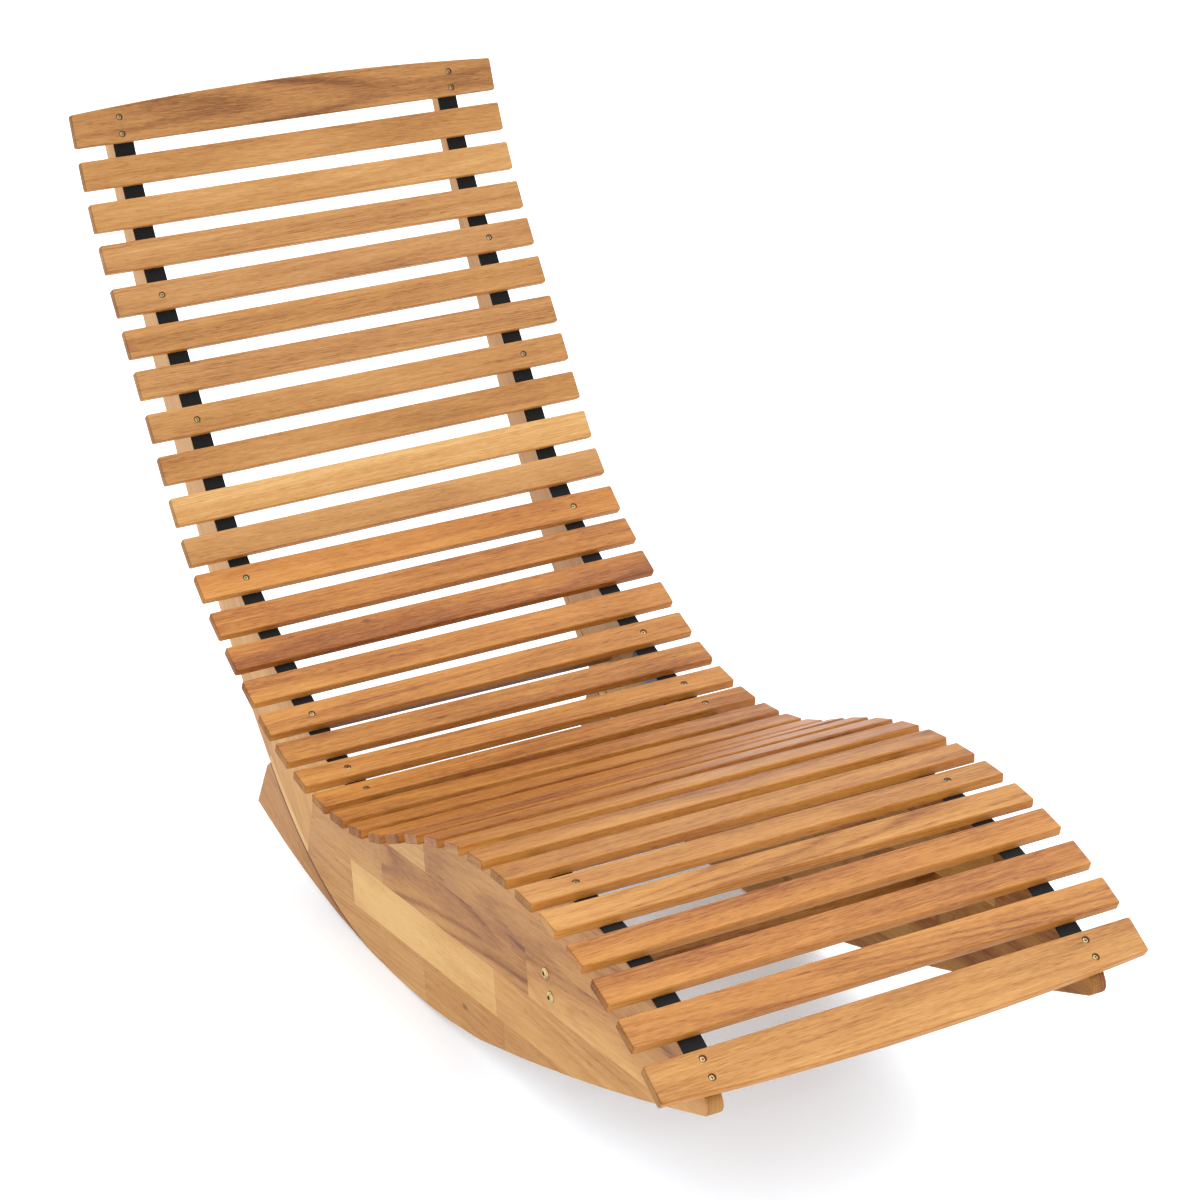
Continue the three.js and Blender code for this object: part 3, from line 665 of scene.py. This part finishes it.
class Stave:
    """A piece of one log: where its points lie in the log, and its looks.

    Lean is how much darker it gets across, figure how clearly growth rings show, tilt how steeply the pith
    runs off, and end_dark how dark its end grain is.
    """

    def __init__(self, seed, centre, fibres, face, tone, warmth,
                 lean=0.0, figure=0.3, tilt=0.0, end_dark=0.6):
        draw = random.Random(seed)
        self.centre = centre
        self.normal = face.normalized()
        along = (fibres - self.normal * fibres.dot(self.normal)).normalized()
        turn = math.radians(draw.uniform(-FIBRE_TURN, FIBRE_TURN))
        self.along = Matrix.Rotation(turn, 3, self.normal) @ along
        self.across = self.normal.cross(self.along)
        flat_sawn = tilt or draw.random() < FLAT_SAWN_SHARE
        far = draw.uniform(*PITH_DEPTH)
        near = draw.uniform(-PITH_ASIDE, PITH_ASIDE)
        sides = (near, far) if flat_sawn else (far, near)
        self.pith = Vector((draw.uniform(0, LOG_LENGTH), *sides))
        self.tone = tone
        self.warmth = warmth
        self.lean = lean
        self.figure = figure
        self.tilt = tilt
        self.end_dark = end_dark

    def log(self, place):
        offset = place - self.centre
        axes = (self.along, self.across, self.normal)
        return Vector([offset.dot(axis) for axis in axes]) + self.pith

    def tree(self, place):
        return self.log(place) + Z_AXIS * (self.tilt * (place - self.centre).dot(self.along))

    def tone_at(self, place):
        return self.tone + self.lean * (place - self.centre).dot(self.across) / (STAVE_WIDTH / 2)


def grain(mesh, stave_at, axes, side_tone=0.0, side_bounce_orange=0.0, strip_tone=0.0, strip_dirt=0.0):
    """Gives each face corner its places and its cast, and each face its painted shade and figure."""
    for name in ("log", "tree", "cast"):
        mesh.attributes.new(name, "FLOAT_VECTOR", "CORNER")
    mesh.attributes.new("shade_and_figure", "FLOAT_VECTOR", "FACE")
    log, tree, cast, shade_and_figure = (mesh.attributes[name] for name in ("log", "tree", "cast", "shade_and_figure"))
    strips = mesh.attributes.get("strip")
    for polygon in mesh.polygons:
        stave = stave_at(polygon.center)
        in_strip = strips is not None and strips.data[polygon.index].value
        squareness = max(abs(polygon.normal.dot(axis)) for axis in axes)
        end_on = abs(polygon.normal.dot(stave.along))
        # Faces beside rounded edges get painted shade, stronger where they look along the fibres
        rim = min(1.0, RIM_GAIN * (1 - squareness)) * (END_RIM if end_on > END_ON else LONG_RIM)
        shade_and_figure.data[polygon.index].vector = (rim, stave.figure, strip_dirt if in_strip else 0.0)
        end_grain = max(0.0, end_on * END_GRAIN_GAIN - END_GRAIN_LOSS) * stave.end_dark
        sideways = abs(polygon.normal.dot(stave.across))
        # On slats, narrow faces are painted orange, standing in for light bounced between the slats
        warmth = stave.warmth if sideways < SIDEWAYS else -side_bounce_orange
        # A marked strip on the rail is made lighter, a painted highlight
        shift = side_tone * sideways + (strip_tone if in_strip else 0.0)
        for corner in polygon.loop_indices:
            place = mesh.vertices[mesh.loops[corner].vertex_index].co
            log.data[corner].vector = stave.log(place)
            tree.data[corner].vector = stave.tree(place)
            cast.data[corner].vector = (stave.tone_at(place) + shift, warmth, end_grain)


# Slats

def slat_place(number):
    """Matrix from a slat's own frame, along, across towards the head and up, to the row's."""
    mesh = nodes[f"slat_{number:02d}"].data
    up = max(mesh.polygons, key=lambda polygon: polygon.area).normal.copy()
    if up.z < 0:
        up.negate()
    axes = (X_AXIS, up.cross(X_AXIS), up)
    points = [vertex.co for vertex in mesh.vertices]
    middle = [sum(extent(points, axis)) / 2 for axis in axes]
    if number in END_SLATS:
        middle[1] -= END_SLAT_BOW / 2 if number == 1 else -END_SLAT_BOW / 2
    centre = axes[0] * middle[0] + axes[1] * middle[1] + axes[2] * middle[2]
    return Matrix.Translation(centre) @ Matrix(axes).transposed().to_4x4()


def slat_width(number):
    points = [vertex.co for vertex in nodes[f"slat_{number:02d}"].data.vertices]
    low, high = extent(points, slat_place(number).to_3x3().col[1])
    return high - low - (END_SLAT_BOW if number in END_SLATS else 0.0)


def slat_ring(width, bow, inset, height):
    """One level of a slat: its plan outline, drawn in by an inset."""
    length, half, corner = SLAT_LENGTH / 2, width / 2, SLAT_CORNER
    corners = ((1, -1, -90), (1, 1, 0), (-1, 1, 90), (-1, -1, 180))
    ring = []
    for x_side, y_side, start in corners:
        centre = Vector((x_side * (length - corner), y_side * (half - corner)))
        for step in range(CORNER_STEPS + 1):
            angle = math.radians(start + 90 * step / CORNER_STEPS)
            reach = Vector((math.cos(angle), math.sin(angle))) * (corner - inset)
            ring.append(centre + reach)
        if bow and (x_side, y_side) == (1, 1):
            for step in range(1, BOW_STEPS):
                x = (length - corner) * (1 - 2 * step / BOW_STEPS)
                rise = bow * (1 - (x / (length - corner)) ** 2)
                ring.append(Vector((x, half - inset + rise)))
    return [(point.x, point.y, height) for point in ring]


def slat_mesh(name, width, bow):
    levels = []
    half = SLAT_THICKNESS / 2
    steps_up = range(ROUNDING_STEPS + 1)
    for side, steps in ((-1, reversed(steps_up)), (1, steps_up)):
        for step in steps:
            angle = math.radians(90 * step / ROUNDING_STEPS)
            inset = SLAT_ROUNDING * (1 - math.cos(angle))
            height = side * (half - SLAT_ROUNDING + SLAT_ROUNDING * math.sin(angle))
            levels.append(slat_ring(width, bow, inset, height))
    return ring_mesh(name, levels)


def screw_places(number):
    rows = (-END_SCREW_SPACING / 2, END_SCREW_SPACING / 2) if number in END_SLATS else (0.0,)
    return [Vector((side * SCREW_SPREAD / 2, y, 0)) for side in (-1, 1) for y in rows]


def sink_cutter(place):
    top = SLAT_THICKNESS / 2
    flare = SINK_RADIUS + OVERRUN * (SINK_RADIUS - HOLE_RADIUS) / SINK_DEPTH
    profile = (
        (-top - OVERRUN, HOLE_RADIUS),
        (top - SINK_DEPTH, HOLE_RADIUS),
        (top + OVERRUN, flare),
    )
    mesh = turned_mesh("sink", profile, SINK_STEPS)
    mesh.transform(Matrix.Translation(place))
    cutter = bpy.data.objects.new("sink", mesh)
    bpy.context.scene.collection.objects.link(cutter)
    return cutter


def mark_sinks(mesh, places):
    """Marks the walls of the screw sinks, where shade is painted."""
    marks = mesh.attributes.new("strip", "INT", "FACE")
    for polygon in mesh.polygons:
        reach = min((polygon.center - place).xy.length for place in places)
        wall = abs(polygon.normal.z) < SINK_WALL_LIMIT
        marks.data[polygon.index].value = int(reach < SINK_RADIUS and wall)


def slat_blank(number):
    """A slat in its own frame, with its screw holes."""
    bow = END_SLAT_BOW - BOW_EASE if number in END_SLATS else 0.0
    mesh = slat_mesh(f"slat_{number:02d}_wood", slat_width(number), bow)
    if number == SLAT_COUNT:
        mesh.transform(Matrix.Rotation(math.pi, 4, "Z"))
    if number in SCREWED_SLATS:
        mesh = carved(mesh, [sink_cutter(place) for place in screw_places(number)])
        mark_sinks(mesh, screw_places(number))
    return mesh


def slat_stave(number, draw):
    tone = SLAT_TONES.get(number, PLAIN_TONE) + draw.uniform(-SLAT_TONE_SPREAD, SLAT_TONE_SPREAD)
    warmth = draw.uniform(*next(span for last, span in SLAT_WARMTHS if number <= last))
    figure, tilt = SLAT_FIGURES.get(number, (draw.uniform(*PLAIN_FIGURE), 0.0))
    lean = draw.uniform(-SLAT_LEAN, SLAT_LEAN)
    end_dark = SLAT_END_DARKS.get(number, draw.uniform(*PLAIN_END_DARK))
    seed = f"slat_{number:02d}"
    return Stave(seed, Vector(), X_AXIS, Z_AXIS, tone, warmth, lean, figure, tilt, end_dark)


def slat_yaw(number):
    """How far a slat lies askew, in radians: as listed, with a little more at random."""
    draw = random.Random(f"yaw {number}")
    laid = next((turn for first, last, turn in SLAT_YAWS if first <= number <= last), 0.0)
    return math.radians(laid + draw.uniform(-SLAT_TWIST, SLAT_TWIST))


def make_slats(material):
    for number in range(1, SLAT_COUNT + 1):
        name = f"slat_{number:02d}"
        draw = random.Random(f"slat {number}")
        mesh = slat_blank(number)
        stave = slat_stave(number, draw)
        # The slats' narrow faces get painted bounce light, and the sink walls get painted shade
        side_tone = 0.0 if number == SLAT_COUNT else SLAT_SIDE_TONE
        grain(mesh, lambda place, stave=stave: stave, (X_AXIS, Y_AXIS, Z_AXIS),
              side_tone, SLAT_SIDE_BOUNCE_ORANGE, strip_dirt=SINK_SHADE)
        slip = 0.0 if number in SCREWED_SLATS else draw.uniform(-SLAT_SLIP, SLAT_SLIP)
        turn = Matrix.Rotation(slat_yaw(number), 4, "Z")
        mesh.transform(slat_place(number) @ turn @ Matrix.Translation((slip, 0, 0)))
        add_piece(name + "_wood", mesh, material, name)


# Screws and bolts

def cross_recess(reach, arm):
    """Radius of a cross-shaped recess at each angle."""
    def radius(angle):
        arms = max(arm / max(abs(math.cos(angle)), 1e-6), arm / max(abs(math.sin(angle)), 1e-6))
        return min(reach, arms)
    return radius


def hexagon(circumradius):
    """Radius of a hexagon at each angle."""
    def radius(angle):
        apothem = circumradius * math.cos(math.pi / 6)
        return apothem / math.cos(angle % (math.pi / 3) - math.pi / 6)
    return radius


def dome(radius, height, inner):
    """Profile of a rounded head from its rim up to an inner radius."""
    last = math.acos(inner / radius)
    angles = [last * step / DOME_STEPS for step in range(DOME_STEPS + 1)]
    return [(height * math.sin(angle), radius * math.cos(angle)) for angle in angles]


def countersunk_screw():
    """A wood screw about Z: tip, shank, flat head that ends at 0, and cross recess."""
    length, taper, head_height, edge, crown, recess = 0.012, 0.002, 0.0030, 0.0002, 0.0001, 0.0014
    tip, shank, head, recess_rim = 0.00076, 0.0019, 0.0031, 0.0024
    profile = [
        (-length, tip),
        (taper - length, shank),
        (-head_height, shank),
        (-edge, head),
        (0.0, head - edge),
        (crown, recess_rim),
        (crown, cross_recess(0.0021, 0.0007)),
        (-recess, cross_recess(0.0013, 0.0005)),
    ]
    return turned_mesh("screw", profile)


def pan_screw():
    """A screw about Z: tip, shank, domed head that sits on 0, and cross recess."""
    length, taper, head_height, recess = 0.008, 0.0015, 0.0020, 0.0012
    tip, shank, head, recess_rim = 0.0008, 0.0018, 0.0038, 0.0024
    profile = [(-length, tip), (taper - length, shank), (0.0, shank)]
    profile += dome(head, head_height, recess_rim)
    top = profile[-1][0]
    profile += [(top, cross_recess(0.0021, 0.0005)), (top - recess, cross_recess(0.0010, 0.0004))]
    return turned_mesh("plate screw", profile)


def bolt(name, head, length):
    """A bolt about Z: a shank of some length, domed head that sits on 0, and hexagon socket."""
    taper, edge, socket_depth = 0.001, 0.0002, 0.0026
    tip, shank, crown, socket_rim = 0.0026, 0.0030, 0.0036, 0.0033
    profile = [(-length, tip), (taper - length, shank), (0.0, shank)]
    profile += dome(head, BOLT_HEAD_HEIGHT, crown)
    top = profile[-1][0]
    profile += [(top, socket_rim), (top - edge, hexagon(0.0030)), (top - socket_depth, hexagon(0.0028))]
    return turned_mesh(name, profile)


def add_screw(name, mesh, place, material):
    own = mesh.copy()
    own.transform(place)
    add_piece(name, own, material)


def make_slat_screws(material):
    mesh = countersunk_screw()
    for number in SCREWED_SLATS:
        place = slat_place(number) @ Matrix.Rotation(slat_yaw(number), 4, "Z")
        sunk = END_SCREW_SUNK if number in END_SLATS else SCREW_SUNK
        for index, spot in enumerate(screw_places(number)):
            draw = random.Random(f"screw {number} {index}")
            lift = Vector((spot.x, spot.y, SLAT_THICKNESS / 2 - sunk))
            turn = Matrix.Rotation(draw.uniform(0, math.pi), 4, "Z")
            fit = place @ Matrix.Translation(lift) @ turn
            add_screw(f"slat_screw_{number:02d}_{index + 1}", mesh, fit, material)


def make_bolts(material):
    for side, side_name in SIDES:
        for level in ("upper", "lower"):
            node = f"front_bolt_{side_name}_{level}"
            low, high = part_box(node)
            middle = (low + high) / 2
            inner, outer = (low.x, high.x) if side > 0 else (-high.x, -low.x)
            seat = outer - BOLT_HEAD_HEIGHT
            mesh = bolt(node + "_zinc", (high.z - low.z) / 2, seat - inner)
            turn = Matrix.Rotation(side * math.pi / 2, 4, "Y")
            mesh.transform(Matrix.Translation((side * seat, middle.y, middle.z)) @ turn)
            add_piece(node + "_zinc", mesh, material, node)


def make_plate_screws(material):
    mesh = pan_screw()
    for side, side_name in SIDES:
        plate = nodes[f"joining_plate_{side_name}"].data
        inner = min((vertex.co.x for vertex in plate.vertices), key=abs)
        face = [vertex.co for vertex in plate.vertices if abs(vertex.co.x - inner) < WELD]
        low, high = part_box(f"joining_plate_{side_name}")
        centre = Vector((inner, (low.y + high.y) / 2, (low.z + high.z) / 2))
        along, across, length, height = plate_axes(face)
        for index, (u, v) in enumerate(((1, 1), (1, -1), (-1, 1), (-1, -1))):
            spot = centre + along * (u * PLATE_HOLE_SHARES[0] * length / 2)
            spot += across * (v * PLATE_HOLE_SHARES[1] * height / 2)
            turn = Matrix.Rotation(-side * math.pi / 2, 4, "Y")
            fit = Matrix.Translation(spot) @ turn
            add_screw(f"plate_screw_{side_name}_{index + 1}", mesh, fit, material)


def plate_axes(face):
    """Directions and lengths of a plate's long and short sides: the turn at which its box is smallest."""
    best = None
    for tenth in range(900):
        angle = math.radians(tenth / 10)
        along = Vector((0, math.cos(angle), math.sin(angle)))
        across = Vector((0, -math.sin(angle), math.cos(angle)))
        spans = []
        for axis in (along, across):
            low, high = extent(face, axis)
            spans.append(high - low)
        if best is None or spans[0] * spans[1] < best[0]:
            best = (spans[0] * spans[1], along, across, *spans)
    along, across, length, height = best[1:]
    return (along, across, length, height) if length > height else (across, along, height, length)


# Straps

def strap_route():
    """Points and up directions along the straps' middle, from the head to the foot."""
    drop = SLAT_THICKNESS / 2 + STRAP_GAP + STRAP_THICKNESS / 2
    route = []
    for number in range(1, SLAT_COUNT + 1):
        place = slat_place(number)
        half = slat_width(number) / 2
        head = STRAP_HEAD_REACH if number == 1 else half
        foot = STRAP_FOOT_REACH if number == SLAT_COUNT else half
        for reach in (head, -foot):
            route.append((place @ Vector((0, reach, -drop)), place.to_3x3().col[2].copy()))
    return route


def strap_mesh(name, route, x):
    """A strap along a route, at a place across the seat, with the way run so far in its weave."""
    sections, weaves = [], []
    run = 0.0
    last = route[0][0]
    for point, up in route:
        run += (point - last).length
        last = point
        middle = point + X_AXIS * x
        section = []
        for u, v in STRAP_SECTION:
            section.append(middle + X_AXIS * (u * STRAP_WIDTH) + up * (v * STRAP_THICKNESS))
            weaves.append((run, u * STRAP_WIDTH, 0))
        sections.append(section)
    mesh = ring_mesh(name, sections)
    attribute = mesh.attributes.new("weave", "FLOAT_VECTOR", "POINT")
    for data, weave in zip(attribute.data, weaves):
        data.vector = weave
    return mesh


def make_straps(material):
    route = strap_route()
    for side, side_name in SIDES:
        name = f"strap_{side_name}_webbing"
        mesh = strap_mesh(name, route, side * (SCREW_SPREAD / 2 - STRAP_INSET))
        add_piece(name, mesh, material, f"strap_{side_name}", weighted=False)


# Side frames and stretchers keep their CAD shapes, with clean faces and rounded shading

def board_mesh(node, cuts=(), strip=None):
    """A copy of a CAD node's mesh, welded, with coplanar faces joined and cut along planes or a strip."""
    board = bmesh.new()
    board.from_mesh(nodes[node].data)
    bmesh.ops.remove_doubles(board, verts=board.verts, dist=WELD)
    flat = math.radians(FLAT_ANGLE)
    bmesh.ops.dissolve_limit(board, angle_limit=flat, verts=board.verts, edges=board.edges)
    for point, normal in cuts:
        everything = board.verts[:] + board.edges[:] + board.faces[:]
        bmesh.ops.bisect_plane(board, geom=everything, dist=WELD, plane_co=point, plane_no=normal)
    layer = board.faces.layers.int.new("strip")
    if strip:
        neighbours, reach, width = strip
        edges = [edge for neighbour in neighbours for edge in side_edges(neighbour)]
        for side in (-1, 1):
            faces = [face for face in board.faces if face.normal.x * side > SIDE_ON]
            face = max(faces, key=lambda face: face.calc_area())
            split_strip(board, layer, face, edges, reach, width)
    mesh = bpy.data.meshes.new(node + "_wood")
    board.to_mesh(mesh)
    board.free()
    return mesh


def side_edges(node):
    """The edges of a CAD node, as seen along X."""
    mesh = nodes[node].data
    edges = []
    for edge in mesh.edges:
        start, end = (mesh.vertices[index].co.yz for index in edge.vertices)
        if (end - start).length > WELD:
            edges.append((start, end))
    return edges


def edge_distance(point, edge):
    start, end = edge
    share = (point - start).dot(end - start) / (end - start).length_squared
    return (point - start - (end - start) * min(max(share, 0), 1)).length


def part_corners(corners, edges, reach):
    """A face's corners in two: a run that lies close to some edges, and the rest."""
    near = [min(edge_distance(corner.co.yz, edge) for edge in edges) < reach for corner in corners]
    count = len(corners)
    first = next(index for index in range(count) if near[index] and not near[index - 1])
    order = [corners[(first + step) % count] for step in range(count)]
    length = next(step for step in range(count) if not near[(first + step) % count])
    run, rest = order[:length], order[length:]
    while (run[1].co - run[0].co).angle(run[2].co - run[1].co) > STRIP_TURN:
        rest.append(run.pop(0))
    return run, rest


def inner_corners(board, run, rest, width):
    """New corners inwards of a run, at a distance that leaves room to the rest of the face."""
    far_edges = [(start.co.yz, end.co.yz) for start, end in zip(rest, rest[1:])]
    inner = []
    for index, corner in enumerate(run):
        heading = (run[min(index + 1, len(run) - 1)].co - run[max(index - 1, 0)].co).normalized()
        inward = heading.cross(X_AXIS)
        room = min(edge_distance(corner.co.yz, edge) for edge in far_edges)
        along = (rest[0].co - corner.co).normalized()
        if index == len(run) - 1 and along.dot(inward) > STRIP_END_LEAN:
            inward = along / along.dot(inward)
        inner.append(board.verts.new(corner.co + inward * min(width, STRIP_ROOM_SHARE * room)))
    return inner


def split_strip(board, layer, face, edges, reach, width):
    """Splits a strip off a side face, along those of its corners that lie close to a neighbour's edges."""
    faces_right = face.normal.x > 0
    corners = [loop.vert for loop in face.loops]
    if faces_right:
        corners.reverse()
    run, rest = part_corners(corners, edges, reach)
    inner = inner_corners(board, run, rest, width)
    board.faces.remove(face)

    def add_face(points):
        return board.faces.new(tuple(reversed(points)) if faces_right else points)

    for index in range(len(run) - 1):
        add_face((run[index], run[index + 1], inner[index + 1], inner[index]))[layer] = 1
    to_rest = (rest[0].co - run[-1].co).normalized()
    to_inner = (inner[-1].co - run[-1].co).normalized()
    last = () if to_rest.dot(to_inner) > PARALLEL else (run[-1],)
    add_face((run[0], *inner, *last, *rest))
    board.normal_update()


def make_panel(side_name, rows, material):
    node = f"rocker_panel_{side_name}"
    cuts, staves = [], []
    for row, pieces in rows.items():
        upper = GLUE_ORIGIN + GLUE_ACROSS * (row * STAVE_WIDTH)
        cuts.append((upper, GLUE_ACROSS))
        for index, (start, *looks) in enumerate(pieces):
            end = pieces[index + 1][0] if index + 1 < len(pieces) else BEYOND_FOOT
            joint = GLUE_ORIGIN + GLUE_ALONG * ((start - GLUE_ORIGIN.y) / GLUE_ALONG.y)
            if index:
                cuts.append((joint, GLUE_ALONG))
            middle = upper - GLUE_ACROSS * (STAVE_WIDTH / 2)
            middle += GLUE_ALONG * (((start + end) / 2 - middle.y) / GLUE_ALONG.y)
            stave = Stave(f"{node} {row} {index}", middle, GLUE_ALONG, X_AXIS, *looks)
            staves.append((row, end, stave))

    def stave_at(place):
        offset = place - GLUE_ORIGIN
        row = math.ceil(offset.dot(GLUE_ACROSS) / STAVE_WIDTH)
        row = min(max(row, min(rows)), max(rows))
        along = GLUE_ORIGIN.y + offset.dot(GLUE_ALONG) * GLUE_ALONG.y
        return next(stave for r, end, stave in staves if r == row and along > end)

    mesh = board_mesh(node, cuts)
    grain(mesh, stave_at, (X_AXIS, GLUE_ACROSS, GLUE_ALONG), BOARD_SIDE_TONE)
    add_piece(node + "_wood", mesh, material, node)


def make_plain_board(node, along, face, material, slot, looks, strip=None, **strip_looks):
    """A board sawn from one log."""
    low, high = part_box(node)
    stave = Stave(node, (low + high) / 2, along, face, *looks)
    mesh = board_mesh(node, strip=strip)
    grain(mesh, lambda place: stave, (face, stave.along, stave.across), BOARD_SIDE_TONE, **strip_looks)
    add_piece(node + "_wood", mesh, material, node)


def box_run(node):
    """From the lower foot end of a board's box to its upper head end."""
    low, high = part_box(node)
    return Vector((0, high.y - low.y, high.z - low.z))


def make_rail(side_name, material):
    """The back rail, with a painted highlight along its joint with the heel strip."""
    node = f"back_rail_{side_name}"
    strip = ((f"heel_strip_{side_name}",), HIGHLIGHT_REACH, HIGHLIGHT_WIDTH)
    make_plain_board(node, box_run(node), X_AXIS, material, "rail_wood", RAIL_LOOKS, strip,
                     strip_tone=HIGHLIGHT_TONE)


def make_heel(side_name, material):
    """The heel strip, with a painted shadow line along its joint with rail and panel."""
    node = f"heel_strip_{side_name}"
    strip = ((f"back_rail_{side_name}", f"rocker_panel_{side_name}"), JOINT_REACH, JOINT_WIDTH)
    make_plain_board(node, box_run(node), X_AXIS, material, "heel_wood", HEEL_LOOKS, strip,
                     strip_dirt=JOINT_SHADE)


def make_stretcher(node, material):
    top = max(nodes[node].data.polygons, key=lambda polygon: polygon.area).normal.copy()
    make_plain_board(node, X_AXIS, top, material, "stretcher_wood", STRETCHER_LOOKS)


def make_boards(panel, rail, heel, stretcher):
    for side_name, rows in (("left", LEFT_ROWS), ("right", RIGHT_ROWS)):
        make_panel(side_name, rows, panel)
        make_rail(side_name, rail)
        make_heel(side_name, heel)
    for node in ("front_stretcher", "rear_stretcher"):
        make_stretcher(node, stretcher)


def finish_hidden(dowels, steel):
    """Materials of the CAD nodes that stay."""
    for name, node in nodes.items():
        if "dowel" in name:
            node.data.materials.clear()
            node.data.materials.append(dowels)
        if name.startswith(("barrel_nut", "joining_plate")):
            node.data.materials.clear()
            node.data.materials.append(steel)


# Studio

def make_camera():
    data = bpy.data.cameras.new("camera")
    data.sensor_width = SENSOR_WIDTH_MM
    data.lens = FOCAL_LENGTH_PIXELS * SENSOR_WIDTH_MM / IMAGE_SIDE
    data.clip_end = CAMERA_REACH
    camera = bpy.data.objects.new("camera", data)
    camera.location = CAMERA_PLACE
    camera.rotation_euler = [math.radians(angle) for angle in CAMERA_TURN]
    bpy.context.scene.collection.objects.link(camera)
    bpy.context.scene.camera = camera


def make_sky():
    world = bpy.data.worlds.new("studio")
    world.use_nodes = True
    colour, strength = world.node_tree.nodes["Background"].inputs[:2]
    colour.default_value = WHITE
    strength.default_value = SKY_STRENGTH
    bpy.context.scene.world = world
    bpy.context.scene.view_settings.view_transform = "Standard"


def make_sun():
    """A wide soft light from above on the right."""
    data = bpy.data.lights.new("overhead", "SUN")
    data.energy = SUN_STRENGTH
    data.angle = math.radians(SUN_SPREAD)
    light = bpy.data.objects.new("overhead", data)
    light.rotation_euler = Vector(SUN_FROM).to_track_quat("Z", "Y").to_euler()
    bpy.context.scene.collection.objects.link(light)


def make_floor():
    mesh = bpy.data.meshes.new("floor")
    corners = ((-1, -1), (1, -1), (1, 1), (-1, 1))
    points = [(x * FLOOR_REACH, y * FLOOR_REACH, 0) for x, y in corners]
    mesh.from_pydata(points, [], [(0, 1, 2, 3)])
    mesh.materials.append(floor_paint())
    floor = bpy.data.objects.new("floor", mesh)
    bpy.context.scene.collection.objects.link(floor)


make_camera()
make_sky()
make_sun()
make_floor()
zinc = plated("yellow zinc", (srgb(192, 170, 124), srgb(160, 130, 80)), roughness=0.26, scale=300.0)
screw_zinc = plated("screw zinc", (srgb(176, 162, 128), srgb(122, 106, 74)), roughness=0.30, scale=300.0)
steel = plated("blue-grey zinc", (srgb(62, 68, 77), srgb(84, 90, 97)), roughness=0.42, scale=90.0)
make_slats(wood("slat wood", contrast=0.74, rim=0.75))
make_slat_screws(screw_zinc)
make_straps(webbing())
make_boards(
    wood("panel wood", contrast=0.90, fibre=0.45, banded=0.5, rim=0.25),
    wood("rail wood", contrast=0.6, fibre=0.6, rim=0.2),
    wood("heel wood", contrast=0.45, fibre=0.8, rim=0.35),
    wood("stretcher wood", contrast=0.6, rim=0.4),
)
make_bolts(zinc)
make_plate_screws(steel)
finish_hidden(bare_dowel(), steel)
